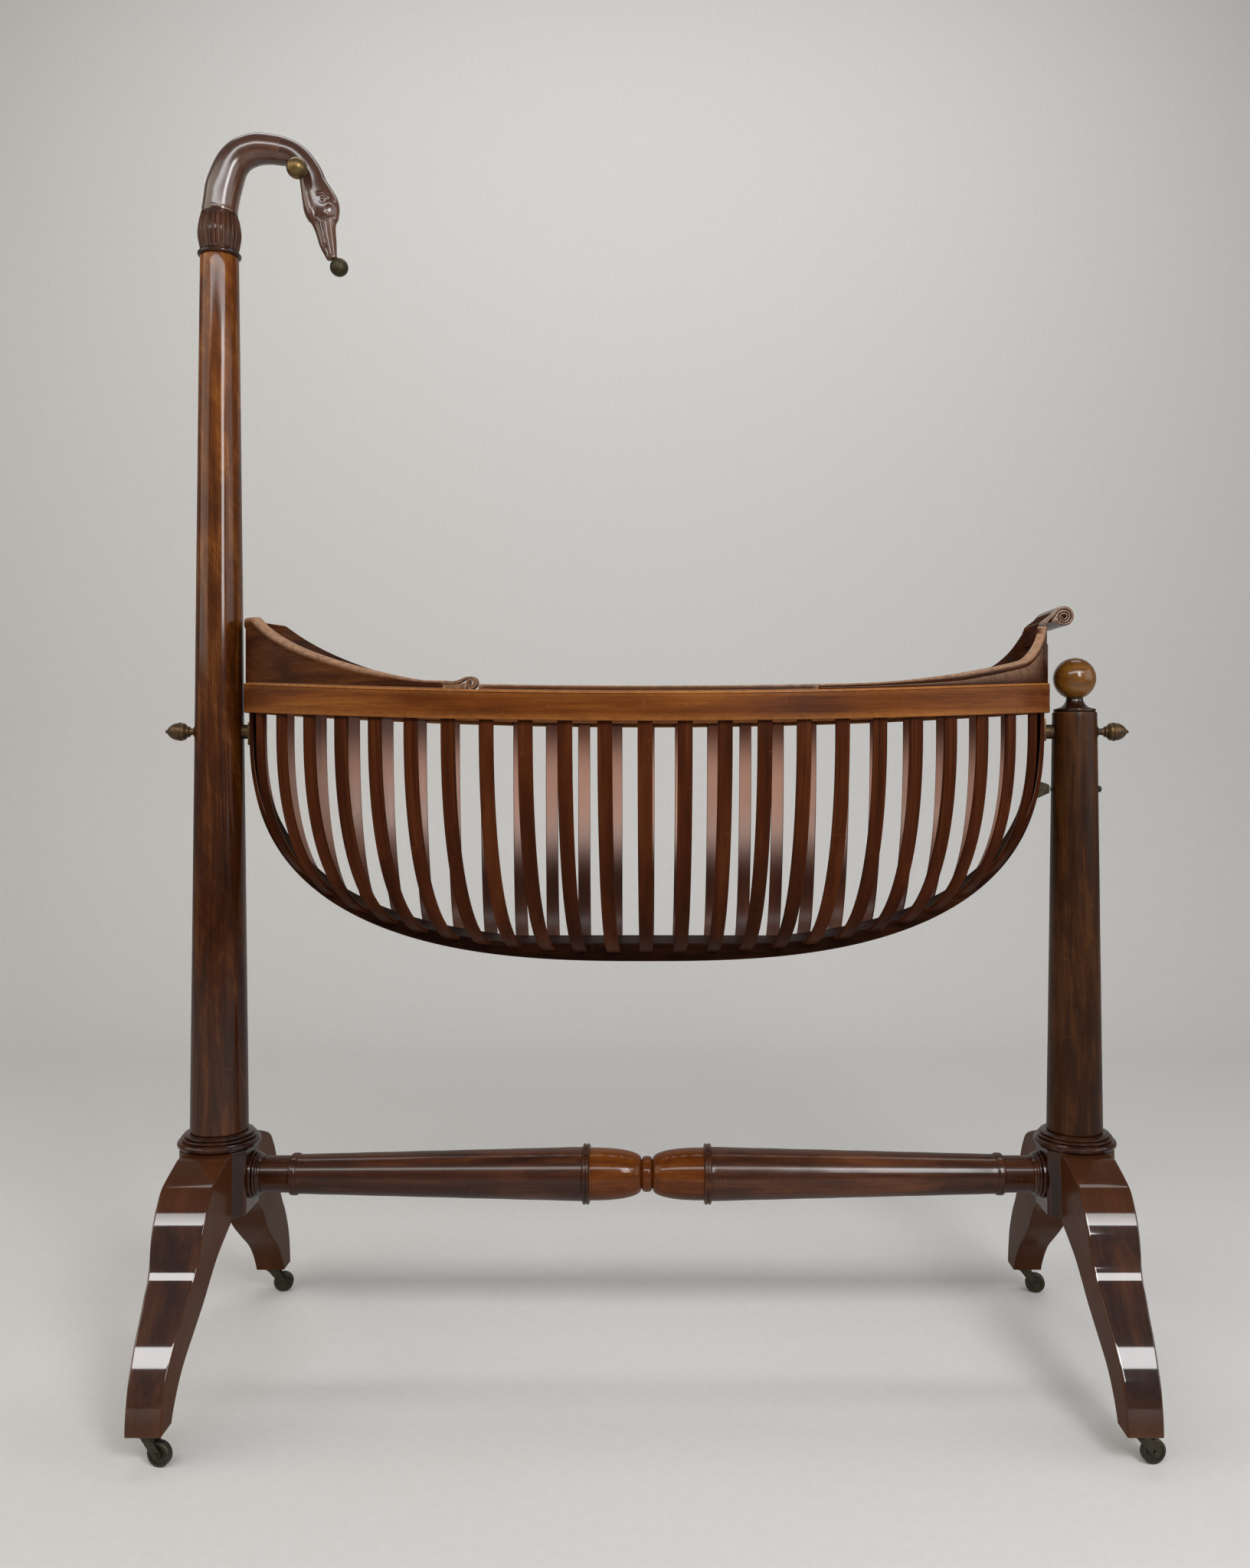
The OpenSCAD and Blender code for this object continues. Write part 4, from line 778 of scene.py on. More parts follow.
for side in ("head", "foot"):
    eased(f"{side}_hub", 0.0022, WOOD_BLOCK, "stand", segments=3)
    eased(f"{side}_pivot_plate", 0.0006, BRASS_DARK, "basket")
    for row in ("front", "back"):
        corner = f"{side}_{row}"
        eased(f"{corner}_fork", 0.0005, BRONZE, f"{corner}_caster")
        eased(f"{corner}_axle", 0.0003, BRONZE, f"{corner}_caster")
        eased(f"{corner}_wheel", 0.0005, BRONZE, f"{corner}_roller")
eased("caster_sockets", 0.0005, BRONZE, "stand")
eased("lock_pin", 0.0005, BRASS_GREEN, "lock")
eased("lock_lug", 0.0010, BRASS_GREEN, "basket")
print("eased pieces: 19")

# %% [markdown]
# ## Legs
# Each leg was sawn from one thick board with a long S on both edges, and it gets narrower
# towards the toe. A loft follows the two edges: every ring of the loft is a rounded
# rectangle that spans from the under edge to the upper edge.

# %% Loft between two edges
def rounded_ring(length, half_a, half_b, radius, steps=4):
    """A rectangle in (along, across); its ends have half widths half_a and half_b.
    A point just beyond each end of a rounded corner keeps the shading of the flats flat."""
    pad = radius * 0.3
    corners = [(0, -half_a), (length, -half_b), (length, half_b), (0, half_a)]
    ring = []
    for i, corner in enumerate(corners):
        p = Vector(corner)
        a, b = Vector(corners[i - 1]), Vector(corners[(i + 1) % 4])
        u, v = (a - p).normalized(), (b - p).normalized()
        ring.append(p + u * (radius + pad))
        for k in range(steps + 1):
            t = math.pi / 2 * k / steps
            ring.append(p + u * radius * (1 - math.sin(t)) + v * radius * (1 - math.cos(t)))
        ring.append(p + v * (radius + pad))
    return ring


def loft(inner, outer, half_width, radius, steps=4):
    """Rings between two matched edges in the plane of the piece. Gives the vertices, and
    how many there are in a ring."""
    verts = []
    for a, b in zip(inner, outer):
        length = (b - a).length
        way = (b - a) / max(length, 1e-9)
        r = min(radius, length * 0.35)
        for p in rounded_ring(length, half_width(a), half_width(b), r, steps):
            q = a + way * p.x
            verts.append((q.x, p.y, q.y))
    return verts, 4 * (steps + 3)


# %% The shape of a leg
TOE_HALF, ROOT_HALF = 0.026, 0.040
LEG_ROWS = 90
# The two edges, in shares of the leg's reach and height.
LEG_UPPER = [(0.10, 1), (0.33, 0.93), (0.415, 0.865), (0.49, 0.77), (0.53, 0.69), (0.56, 0.615),
             (0.61, 0.55), (0.66, 0.51), (0.74, 0.435), (0.81, 0.375), (0.88, 0.30),
             (0.945, 0.215), (0.978, 0.14), (0.996, 0.06), (1, 0)]
LEG_UNDER = [(0, 0.645), (0.09, 0.605), (0.215, 0.54), (0.305, 0.465), (0.39, 0.385),
             (0.515, 0.295), (0.665, 0.195), (0.755, 0.11), (0.815, 0.035), (0.835, 0)]


def leg_place(p):
    return Vector((HUB_FACE + p[0] * (LEG_REACH - HUB_FACE),
                   CASTER_H + p[1] * (HUB_TOP_Z - CASTER_H)))


def leg_half(p):
    v = clamp01(((p.y - CASTER_H) / (HUB_TOP_Z - CASTER_H) - 0.1) / 0.75)
    return TOE_HALF + (ROOT_HALF - TOE_HALF) * v * v * (3 - 2 * v)


upper = [leg_place((0, 1))] + smooth_line([leg_place(p) for p in LEG_UPPER], 6)
under = smooth_line([leg_place(p) for p in LEG_UNDER], 6)
upper, under = even_line(upper, LEG_ROWS), even_line(under, LEG_ROWS)
upper[0].y -= 0.0002
print("leg rows:", LEG_ROWS)

# %% The four legs
GRAIN_SLOPE = (0.75, 0.66)  # the board's grain runs down towards the toe
POLISH_TOP_Z, POLISH_EDGE = 0.318, 0.02
TOE_ROWS = 9


def leg_polish(sides):
    """The upper face is polished, less so near the hub and on the toe."""
    corner = sides // 4
    rise = [clamp01((k - 2) / (corner - 4)) for k in range(corner)]
    ring = [0.0] * corner + rise + rise[::-1] + [0.0] * corner
    shines = []
    for i, p in enumerate(upper):
        from_hub = clamp01((POLISH_TOP_Z - p.y) / POLISH_EDGE)
        from_toe = clamp01((LEG_ROWS - 4 - i) / TOE_ROWS)
        shines += [v * (0.3 + 0.7 * from_hub * from_toe) for v in ring]
    return shines


along, down = GRAIN_SLOPE
for side, post_sign in (("head", -1), ("foot", 1)):
    for row, front in (("front", -1), ("back", 1)):
        flat, sides = loft(under, upper, leg_half, 0.0028)
        verts = [(post_sign * POST_X + y, front * x, z) for x, y, z in flat]
        own = post_sign + front * 3  # so that no two legs show the same figure
        grain = [(along * z - down * x + own, down * z + along * x, y) for x, y, z in flat]
        leg = piece(f"{side}_{row}_leg_sawn", verts, tube_faces(LEG_ROWS, sides), WOOD_LEG,
                    "stand", [f"{side}_{row}_leg"], grain=grain)
        store(leg.data, "polish", leg_polish(sides))
print("legs: 4")

# %% [markdown]
# ## Keel
# The keel is the heavy rib under the basket. It bows from one pivot to the other and gets
# wider in the middle. It is the same loft, along a superellipse.

# %% The keel
def keel_point(a, depth, angle):
    s, c = math.sin(angle), math.cos(angle)
    x = a * math.copysign(abs(s) ** (2 / BOW_END), s)
    return Vector((x, SHOULDER_Z - depth * max(0.0, c) ** (2 / BOW_END)))


KEEL_FLAT_HALF, KEEL_STEPS = 0.220, 60
BELOW_BAND_TOP = 0.006
keel_inner_a, keel_inner_depth = KEEL_A - KEEL_END_T, KEEL_DEPTH - KEEL_MID_T
keel_flat_z = SHOULDER_Z - keel_inner_depth * (
    1 - (KEEL_FLAT_HALF / keel_inner_a) ** BOW_END) ** (1 / BOW_END)
keel_end_z = band_top(KEEL_A) - BELOW_BAND_TOP
inner, outer = [], []
for i in range(-KEEL_STEPS, KEEL_STEPS + 1):
    angle = math.pi / 2 * i / KEEL_STEPS
    outer.append(keel_point(KEEL_A, KEEL_DEPTH, angle))
    p = keel_point(keel_inner_a, keel_inner_depth, angle)
    inner.append(Vector((p.x, max(p.y, keel_flat_z))))
for k in (1, 2, 3):
    z = SHOULDER_Z + (keel_end_z - SHOULDER_Z) * k / 3
    for sign, put in ((-1, 0), (1, len(inner))):
        inner.insert(put, Vector((sign * keel_inner_a, z)))
        outer.insert(put if sign < 0 else len(outer), Vector((sign * KEEL_A, z)))
flat, sides = loft(inner, outer, lambda p: keel_half(min(KEEL_A, abs(p.x))), 0.0022, 3)
piece("keel_bowed", flat, tube_faces(len(inner), sides), WOOD_KEEL, "basket", ["keel"])
print("keel rings:", len(inner))

# %% [markdown]
# ## Rim
# Steam-bent boards run round the ellipse of the rim. One helper walks round the ellipse
# and asks a small function for the section at each place, so that a board can grow from
# a narrow rail to a tall end, with an edge that is rolled outwards.

# %% Boards round the ellipse
RIM_SHARP = 42  # the angle, in degrees, from which an edge of the rim stays sharp


def rim_piece(name, a, b, thick, angles, section, material, nodes,
              closed=False):
    """section(x) gives the outline there, as points of (share of the thickness from the
    outside, height, extra wear and painted edge highlight)."""
    verts, grain, rubbed_and_lit = [], [], []
    for angle in angles:
        ca, sa = math.cos(angle), math.sin(angle)
        for u, z, worn_and_lit in section(a * ca):
            verts.append(((a - u * thick) * ca, (b - u * thick) * sa, z))
            grain.append((angle * 0.5 * (a + b), z, u * thick))
            rubbed_and_lit.append(worn_and_lit)
    faces = tube_faces(len(angles), len(verts) // len(angles), wrap=closed)
    obj = piece(name, verts, faces, material, "basket", nodes, angle=RIM_SHARP, grain=grain)
    add_wear_and_sheen(obj, rubbed_and_lit)


# %% The outline of a board
def board_section(low, top, lip=0.0, lip_h=0.0, round_r=0.0022):
    """A board's outline with rounded edges; its top can be rolled outwards by lip."""
    t = BOARD_T
    outline = [(0, low), (0, low + 0.0016)]
    if lip_h:
        outline.append((0, top - lip_h))
        for k in range(1, 9):
            angle = math.pi * k / 9
            outline.append((-lip * math.sin(angle) ** 0.8,
                            top - lip_h * (0.5 + 0.5 * math.cos(angle))))
    quarter = [(1 - math.sin(math.pi / 2 * k / 5), 1 - math.cos(math.pi / 2 * k / 5))
               for k in range(6)]
    outline += [(round_r * away, top - round_r * down) for down, away in quarter]
    outline += [(t - round_r * away, top - round_r * down) for away, down in quarter]
    outline += [(t, top - round_r - 0.0010), (t, low + 0.0020), (t, low + 0.0008),
                (t - 0.0008, low), (0.0008, low)]
    # The top of the outer face and the rolled lip are marked lighter: partly worn edge, partly
    # painted highlight where the lip catches the light.
    rubbed_h = max(lip_h * 0.45, round_r)
    return [(u / t, z, clamp01(1.2 - (top - z) / rubbed_h) if u < t * 0.9 else 0.0)
            for u, z in outline]


def angles_between(start, end, steps):
    return [math.radians(start + (end - start) * i / steps) for i in range(steps + 1)]


def angle_at(x, a=BOARD_A):
    """Where on an ellipse x lies, in degrees."""
    return math.degrees(math.acos(x / a))


# %% The band and the hoop inside it
def band_section(x):
    low, top = band_low(x), band_top(x)
    side = [(0.9, low), (0.15, low), (0, low + 0.0011), (0, low + 0.012), (0, top - 0.012),
            (0, top - 0.0052), (0.09, top - 0.0047), (0.09, top - 0.0040), (0, top - 0.0035),
            (0.02, top - 0.0010), (0.14, top), (0.9, top), (1, top - 0.0008), (1, low + 0.0008)]
    # The top outer edge and the bottom edge are marked lighter: partly wear, partly painted
    # highlight along the lit edge lines.
    return [(u, z, 0.85 if z > top - 0.004 and u < 0.2 else (0.35 if z < low + 0.002 else 0.0))
            for u, z in side]


rim_piece("rim_band_bent", RIM_A, RIM_B, BAND_T, angles_between(0, 360 - 360 / 240, 239),
          band_section, WOOD_RIM, ["rim_band"], closed=True)
HOOP_A, HOOP_B, HOOP_T = 0.6496, 0.2346, 0.006
KEEL_GAP = 0.0008


def hoop_section(x):
    low, top = band_low(x) + 0.006, band_top(x)
    # The lower edge is marked lighter: partly wear, partly painted highlight on the lit edge.
    return [(u, z, 0.6 if z < low + 0.001 else 0.0) for u, z in
            [(0.85, low), (0.15, low), (0, low + 0.0008), (0, top - 0.0008), (0.15, top),
             (0.85, top), (1, top - 0.0008), (1, low + 0.0008)]]


gap = math.degrees(math.asin((KEEL_END_W / 2 + KEEL_GAP) / (HOOP_B - HOOP_T)))
arcs = {"near": (180 + gap, 360 - gap), "far": (gap, 180 - gap)}
for way, (start, end) in arcs.items():
    rim_piece(f"{way}_hoop_bent", HOOP_A, HOOP_B, HOOP_T, angles_between(start, end, 110),
              hoop_section, WOOD_LATH, ["inner_hoop"])
print("band and hoop: 3")

# %% The end boards and the cap rail
ON_BAND = 0.0002
HEAD_BOARD_END, FOOT_BOARD_END = -0.300, 0.258
RAIL_ENDS = (-0.2474, 0.2574)


def head_top(x):
    r = 1 - clamp01((BOARD_A + x - 0.030) / 0.300)
    return band_top(x) + CAP_RAIL_H + 0.004 + 0.094 * (0.72 * r ** 1.3 + 0.28 * r ** 6)


def foot_top(x):
    return (band_top(x) + CAP_RAIL_H + 0.032 * clamp01((x - 0.300) / 0.320) ** 2
            + 0.080 * clamp01((x - 0.590) / 0.072) ** 2.5)


def head_section(x):
    top = head_top(x)
    tall = top - band_top(x)
    lip_h = min(0.015, tall * 0.55)
    return board_section(band_top(x) + ON_BAND, top, lip=0.0024 * clamp01(tall / 0.05),
                         lip_h=lip_h, round_r=0.003)


def foot_section(x):
    top = foot_top(x)
    stay = clamp01((0.648 - x) / 0.030)
    lip_h = min(0.011, (top - band_top(x)) * 0.6)
    return board_section(band_top(x) + ON_BAND, top, lip=0.0018 * stay, lip_h=lip_h,
                         round_r=0.0012 + 0.0018 * stay)


def rail_section(x):
    return board_section(band_top(x) + ON_BAND, band_top(x) + CAP_RAIL_H, round_r=0.0026)


def board(name, start, end, steps, section, node):
    rim_piece(name, BOARD_A, BOARD_B, BOARD_T, angles_between(start, end, steps), section,
              WOOD_BOARD, [node])


turn = angle_at(HEAD_BOARD_END)
board("head_board_bent", turn, 360 - turn, 200, head_section, "head_board")
first, last = (angle_at(x) for x in RAIL_ENDS)
board("far_cap_rail_bent", last, first, 50, rail_section, "cap_rail")
board("near_cap_rail_bent", 360 - first, 360 - last, 50, rail_section, "cap_rail")
print("boards: 3")

# %% The foot board, notched for its scroll
SCROLL_HALF = 0.045
WEB_LOW_Z = 1.1958
NOTCH_Y, STEP_Y = SCROLL_HALF + 0.0003, SCROLL_HALF + 0.00025
turn = angle_at(FOOT_BOARD_END)
notch = math.degrees(math.asin(NOTCH_Y / BOARD_B))
# Each ring has an angle, or a fixed y at the notch's sides, and says if it is cut low.
foot_rings = [(angle, None, False) for angle in angles_between(-turn, -notch - 0.4, 90)]
foot_rings += [(None, -NOTCH_Y, False), (None, -STEP_Y, True)]
foot_rings += [(angle, None, True) for angle in angles_between(-notch + 0.6, notch - 0.6, 24)]
foot_rings += [(None, STEP_Y, True), (None, NOTCH_Y, False)]
foot_rings += [(angle, None, False) for angle in angles_between(notch + 0.4, turn, 90)]
verts, grain, rubbed_and_lit = [], [], []
for angle, y_fixed, cut in foot_rings:
    along = math.cos(angle) if y_fixed is None else math.sqrt(1 - (y_fixed / BOARD_B) ** 2)
    x = BOARD_A * along
    outline = foot_section(x)
    if cut:
        outline = board_section(band_top(x) + ON_BAND, WEB_LOW_Z - SEAT, lip_h=0.004,
                                round_r=0.0003)
    for u, z, worn_and_lit in outline:
        a, b = BOARD_A - u * BOARD_T, BOARD_B - u * BOARD_T
        t = angle if y_fixed is None else math.asin(y_fixed / b)
        verts.append((a * math.cos(t), b * math.sin(t), z))
        grain.append((t * 0.5 * (a + b), z, u * BOARD_T))
        rubbed_and_lit.append(0.0 if cut else worn_and_lit)
sides = len(verts) // len(foot_rings)
foot_board = piece("foot_board_bent", verts, tube_faces(len(foot_rings), sides), WOOD_BOARD,
                   "basket", ["foot_board"], RIM_SHARP, grain)
add_wear_and_sheen(foot_board, rubbed_and_lit)
print("foot board rings:", len(foot_rings))

# %% [markdown]
# ## Scrolls
# The foot board ends in a roll like a rolled sheet of paper, and each arm of the head
# board ends in a small one. A scroll is a ribbon with two edges in one plane. The edges
# run up the web, over the top, and then round a spiral that closes towards the eye.

# %% A spiral ribbon
THINNING = 0.78  # how much of its width the ribbon keeps after each turn


def spiral(centre, radius, start, turns, width, gap, hold=200.0, per_turn=72):
    """Outer and inner edge of a ribbon that winds clockwise towards its centre. It keeps
    its radius for the first hold degrees."""
    radii, widths, outer, inner = [], [], [], []
    for i in range(int(per_turn * turns) + 1):
        turned_by = 360 * i / per_turn
        widths.append(width * THINNING ** (turned_by / 360))
        if i < per_turn:
            drop = (width + gap) * clamp01((turned_by - hold) / (360 - hold)) ** 1.3
            radii.append(radius - drop)
        else:
            radii.append(radii[i - per_turn] - widths[i - per_turn] - gap)
        angle = math.radians(start - turned_by)
        ray = Vector((math.cos(angle), math.sin(angle)))
        outer.append(Vector(centre) + ray * radii[i])
        inner.append(Vector(centre) + ray * max(0.0006, radii[i] - widths[i]))
    return outer, inner


def drawn_edge(points, edge, steps):
    """A drawn line that runs on smoothly into an edge of a spiral."""
    return smooth_line([Vector(p) for p in points] + [edge[0]], steps)[:-1] + edge


# %% The edges of the foot board's scroll
ROLL = (0.679, 1.2408)
outer, inner = spiral(ROLL, 0.016, 108, 2.8, 0.0048, 0.0010)
back = [(0.648, WEB_LOW_Z), (0.648, 1.2060), (0.6484, 1.2170), (0.6500, 1.2290),
        (0.6542, 1.2400), (0.6606, 1.2490), (0.6670, 1.2540)]
front = [(0.662, WEB_LOW_Z), (0.662, 1.2060), (0.6621, 1.2150), (0.6624, 1.2250), (0.6632, 1.2340),
         (0.6650, 1.2420), (0.6690, 1.2475)]
back, front = drawn_edge(back, outer, 8), drawn_edge(front, inner, 8)
print("foot scroll rings:", len(back))

# %% The scroll of the foot board
# Low down its web follows the board's curve, and its inner face there is unpolished.
verts, grain, shine = [], [], []
for low, high in zip(front, back):
    soft = 0.0004 + 0.0010 * clamp01((high.y - 1.222) / 0.012)
    flat, sides = loft([low], [high], lambda p: SCROLL_HALF, soft)
    for x, y, z in flat:
        follow = clamp01((1.2450 - z) / 0.018) if x < 0.6675 else 0.0
        u = clamp01((BOARD_A - x) / BOARD_T) * BOARD_T
        bow = (BOARD_A - u) * (1 - math.sqrt(1 - (y / (BOARD_B - u)) ** 2))
        follow = follow * follow * (3 - 2 * follow)
        verts.append((x - bow * follow, y, z))
        grain.append((y, z + x, x - z))
        inside = (Vector((x, z)) - high).length < (Vector((x, z)) - low).length
        hidden = inside and abs(y) < SCROLL_HALF - soft * 1.2 and high.y < 1.247 and high.x < 0.668
        shine.append(0.0 if hidden else 1.0)
roll = piece("foot_scroll_rolled", verts, tube_faces(len(back), sides), WOOD_SCROLL, "basket",
             ["foot_scroll"], RIM_SHARP, grain)
store(roll.data, "polish", shine)
# The edges of the roll's end faces are marked lighter: partly wear, partly painted highlight that
# draws the turns of the spiral.
add_wear_and_sheen(roll, [0.5 if abs(y) > SCROLL_HALF - 0.0015 and z > 1.228 else 0.0 for x, y, z in verts])
EYE = [(0.3, 0), (0.3, 1.2, 0.3), (0.9, 1.9, 0.4), (89.1, 1.9, 0.4), (89.7, 1.2, 0.3), (89.7, 0)]
turned("foot_scroll_eye", EYE, (ROLL[0], SCROLL_HALF, ROLL[1]),
       Matrix.Rotation(math.radians(90), 4, "X"), WOOD_BOARD, ["foot_scroll"],
       body="basket", sides=32)
print("foot scroll: 2")

# %% The scrolls of the head board's arms
def on_wall(x, across, z, side):
    """Lays a flat shape on the curved wall that the boards stand in."""
    a, b = BOARD_A - BOARD_T / 2, BOARD_B - BOARD_T / 2
    y = b * math.sqrt(1 - (x / a) ** 2)
    slope = Vector((x / a ** 2, y / b ** 2)).normalized()
    return (x + slope.x * across, side * (y + slope.y * across), z)


CURL_R, CURL_X, ARM_END_X = 0.0095, -0.2582, -0.2997
base = band_top(CURL_X) + ON_BAND
outer, inner = spiral((CURL_X, base + CURL_R), CURL_R, 105, 1.9, 0.0034, 0.0004, hold=170,
                      per_turn=48)
back = [(ARM_END_X, base + 0.0130), (-0.2900, base + 0.0122), (-0.2800, base + 0.0128),
        (-0.2710, base + 0.0162), (-0.2655, base + 0.0182)]
front = [(ARM_END_X, base + 0.0078), (-0.2900, base + 0.0074), (-0.2800, base + 0.0084),
         (-0.2722, base + 0.0112), (-0.2672, base + 0.0140)]
back, front = drawn_edge(back, outer, 5), drawn_edge(front, inner, 5)
tongue_top = [Vector((ARM_END_X + 0.0345 * i / 12, base + 0.0068 + 0.0030 * (i / 12) ** 2.2))
              for i in range(13)]
tongue_low = [Vector((p.x, base)) for p in tongue_top]
for way, side in (("near", -1), ("far", 1)):
    for part, low, high in (("curl", front, back), ("leaf", tongue_low, tongue_top)):
        flat, sides = loft(low, high, lambda p: BOARD_T / 2 - 0.0002, 0.0010, 3)
        verts = [on_wall(x, across, z, side) for x, across, z in flat]
        curl = piece(f"{way}_head_scroll_{part}", verts, tube_faces(len(low), sides), WOOD_BOARD,
                     "basket", ["head_scrolls"], RIM_SHARP,
                     grain=[(x, z, y) for x, y, z in verts])
        add_wear_and_sheen(curl, [0.5] * len(verts))
print("head scrolls: 2 pairs")

# %% [markdown]
# ## Laths
# Fifty thin laths stand round the basket, twenty-five on each side. Each one is the same
# strip, bent to its own curve. That is a job for Geometry Nodes: Python works out one line
# per lath, and the tree sweeps a strip with rounded edges along every line at once. The
# tree also stores where each point lies along the grain, so that the finish can follow
# the bend.

# %% Places round the bowl
ARC_STEPS = 720


def bowl_z(x, y):
    """Height of the bowl's outside."""
    vx, vy = (x / LATH_A) ** 2, (y / LATH_B) ** 2
    v = min(1.0, math.sqrt(vx + vy))
    n = (BOW_END * vx + BOW_SIDE * vy) / (vx + vy)
    return SHOULDER_Z - LATH_DEPTH * (1 - v ** n) ** (1 / n)


def ring_point(t):
    return Vector((LATH_A * math.sin(t), LATH_B * math.cos(t)))


arc_table = [0.0]
for i in range(ARC_STEPS):
    a, b = (ring_point(math.pi / 2 * j / ARC_STEPS) for j in (i, i + 1))
    arc_table.append(arc_table[-1] + (b - a).length)
lath_pitch = 4 * arc_table[-1] / LATH_PLACES


def angle_of(arc):
    """The angle on the ellipse at a distance round it from the middle of a side."""
    i = next(i for i, total in enumerate(arc_table) if total >= arc) if arc > 0 else 1
    share = (arc - arc_table[i - 1]) / (arc_table[i] - arc_table[i - 1])
    return math.pi / 2 * (i - 1 + share) / ARC_STEPS


print("lath pitch (mm):", round(lath_pitch / MM, 2))

# %% One line for each lath
LATH_ROWS = 22
PAST_KEEL = 0.012  # how far a lath runs on past the keel's face, before it is cut there


def lath_line(k, side):
    """Middle line of a lath from the keel up, and the upright plane it is cut on."""
    t = angle_of(abs(k) * lath_pitch)
    ring = ring_point(t)
    n = Vector((ring.x / LATH_A ** 2, ring.y / LATH_B ** 2)).normalized()
    bend = ((LATH_A * math.cos(t)) ** 2 + (LATH_B * math.sin(t)) ** 2) ** 1.5 / (LATH_A * LATH_B)
    top = ring - n * (LATH_W / 2) ** 2 / (2 * bend)
    d = 0.1  # the distance in to the keel, a first guess that each round makes better
    for _ in range(8):
        d = (top.y - keel_half(top.x - d * n.x)) / n.y
    face = []
    for i in range(LATH_ROWS + 1):
        inwards = (d + PAST_KEEL) * (i / LATH_ROWS) ** 2.2
        p = ring - n * inwards
        face.append(Vector((inwards, bowl_z(p.x, max(p.y, 0.00001)))))
    middle = [Vector((LATH_T / 2, band_top(ring.x) - BELOW_BAND_TOP))]
    for i, p in enumerate(face):
        ahead = face[min(i + 1, LATH_ROWS)]
        way = Vector((0, -1)) if i == 0 else (ahead - face[i - 1]).normalized()
        middle.append(p + Vector((-way.y, way.x)) * LATH_T / 2)
    mx, my = (-1 if k < 0 else 1), side
    line = [Vector((mx * (top.x - n.x * p.x), my * (top.y - n.y * p.x), p.y)) for p in middle]
    foot = top - n * d
    spot = Vector((mx * foot.x, my * (keel_half(foot.x) + SEAT), 0))
    slope = (KEEL_MID_W - KEEL_END_W) * foot.x / KEEL_A ** 2
    return list(reversed(line)), (spot, Vector((mx * slope, my, 0)).normalized())


print("lath lines ready")

# %% Making and running a tree
def new_tree(name, inputs):
    tree = bpy.data.node_groups.new(name, "GeometryNodeTree")
    tree.interface.new_socket("Geometry", in_out="INPUT", socket_type="NodeSocketGeometry")
    tree.interface.new_socket("Geometry", in_out="OUTPUT", socket_type="NodeSocketGeometry")
    for label, kind, value in inputs:
        socket = tree.interface.new_socket(label, in_out="INPUT", socket_type=kind)
        if value is not None:
            socket.default_value = value
    return tree, tree.nodes.new("NodeGroupInput").outputs


def end_tree(tree, geometry, finish):
    """Both trees end alike: copies become real, and get their finish."""
    solid = add_node(tree, "GeometryNodeRealizeInstances", {}, {"Geometry": geometry})
    dressed = add_node(tree, "GeometryNodeSetMaterial", {},
                       {"Geometry": solid.outputs["Geometry"], "Material": finish})
    add_node(tree, "NodeGroupOutput", {}, {"Geometry": dressed.outputs["Geometry"]})
    print(tree.name, "nodes:", len(tree.nodes))


def run_tree(tree, name, start_mesh, finish):
    """Runs a tree on a mesh, and returns the mesh that comes out."""
    guide = place_object(name, start_mesh)
    modifier = guide.modifiers.new(tree.name, "NODES")
    modifier.node_group = tree
    names = {item.name: item.identifier for item in tree.interface.items_tree
             if item.in_out == "INPUT"}
    modifier[names["Finish"]] = finish
    depsgraph = bpy.context.evaluated_depsgraph_get()
    mesh = bpy.data.meshes.new_from_object(guide.evaluated_get(depsgraph),
                                           preserve_all_data_layers=True, depsgraph=depsgraph)
    bpy.data.objects.remove(guide)
    return mesh


print("tree helpers ready")

# %% The tree that sweeps the laths
lath_tree, given = new_tree("Swept laths", [
    ("Width", "NodeSocketFloat", LATH_W), ("Thickness", "NodeSocketFloat", LATH_T),
    ("Edge radius", "NodeSocketFloat", 0.0012), ("Finish", "NodeSocketMaterial", None)])
to_curve = add_node(lath_tree, "GeometryNodeMeshToCurve", {}, {"Mesh": given["Geometry"]})
along = add_node(lath_tree, "GeometryNodeSplineParameter")
catch_along = add_node(lath_tree, "GeometryNodeStoreNamedAttribute",
                       {"data_type": "FLOAT", "domain": "POINT"},
                       {"Geometry": to_curve.outputs["Curve"], "Name": "run",
                        "Value": along.outputs["Length"]})
strip = add_node(lath_tree, "GeometryNodeCurvePrimitiveQuadrilateral", {"mode": "RECTANGLE"},
                 {"Width": given["Width"], "Height": given["Thickness"]})
softened = add_node(lath_tree, "GeometryNodeFilletCurve", {},
                    {"Curve": strip.outputs["Curve"], "Radius": given["Edge radius"],
                     "Limit Radius": True})
for socket in softened.inputs:
    if socket.name == "Mode":
        socket.default_value = "Poly"
    if socket.name == "Count" and socket.type == "INT":
        socket.default_value = 2
where = add_node(lath_tree, "GeometryNodeInputPosition")
catch_across = add_node(lath_tree, "GeometryNodeStoreNamedAttribute",
                        {"data_type": "FLOAT_VECTOR", "domain": "POINT"},
                        {"Geometry": softened.outputs["Curve"], "Name": "across",
                         "Value": where.outputs["Position"]})
swept = add_node(lath_tree, "GeometryNodeCurveToMesh", {},
                 {"Curve": catch_along.outputs["Geometry"],
                  "Profile Curve": catch_across.outputs["Geometry"], "Fill Caps": True})
end_tree(lath_tree, swept.outputs["Mesh"], given["Finish"])

# %% Cutting the laths at the keel
def islands_of(bm):
    """The faces of each separate lath, found in the same order on every run."""
    left, groups = set(bm.faces), []
    for first in bm.faces:
        if first not in left:
            continue
        left.remove(first)
        todo, group = [first], []
        while todo:
            face = todo.pop()
            group.append(face)
            for edge in face.edges:
                for other in edge.link_faces:
                    if other in left:
                        left.remove(other)
                        todo.append(other)
        groups.append(group)
    return groups


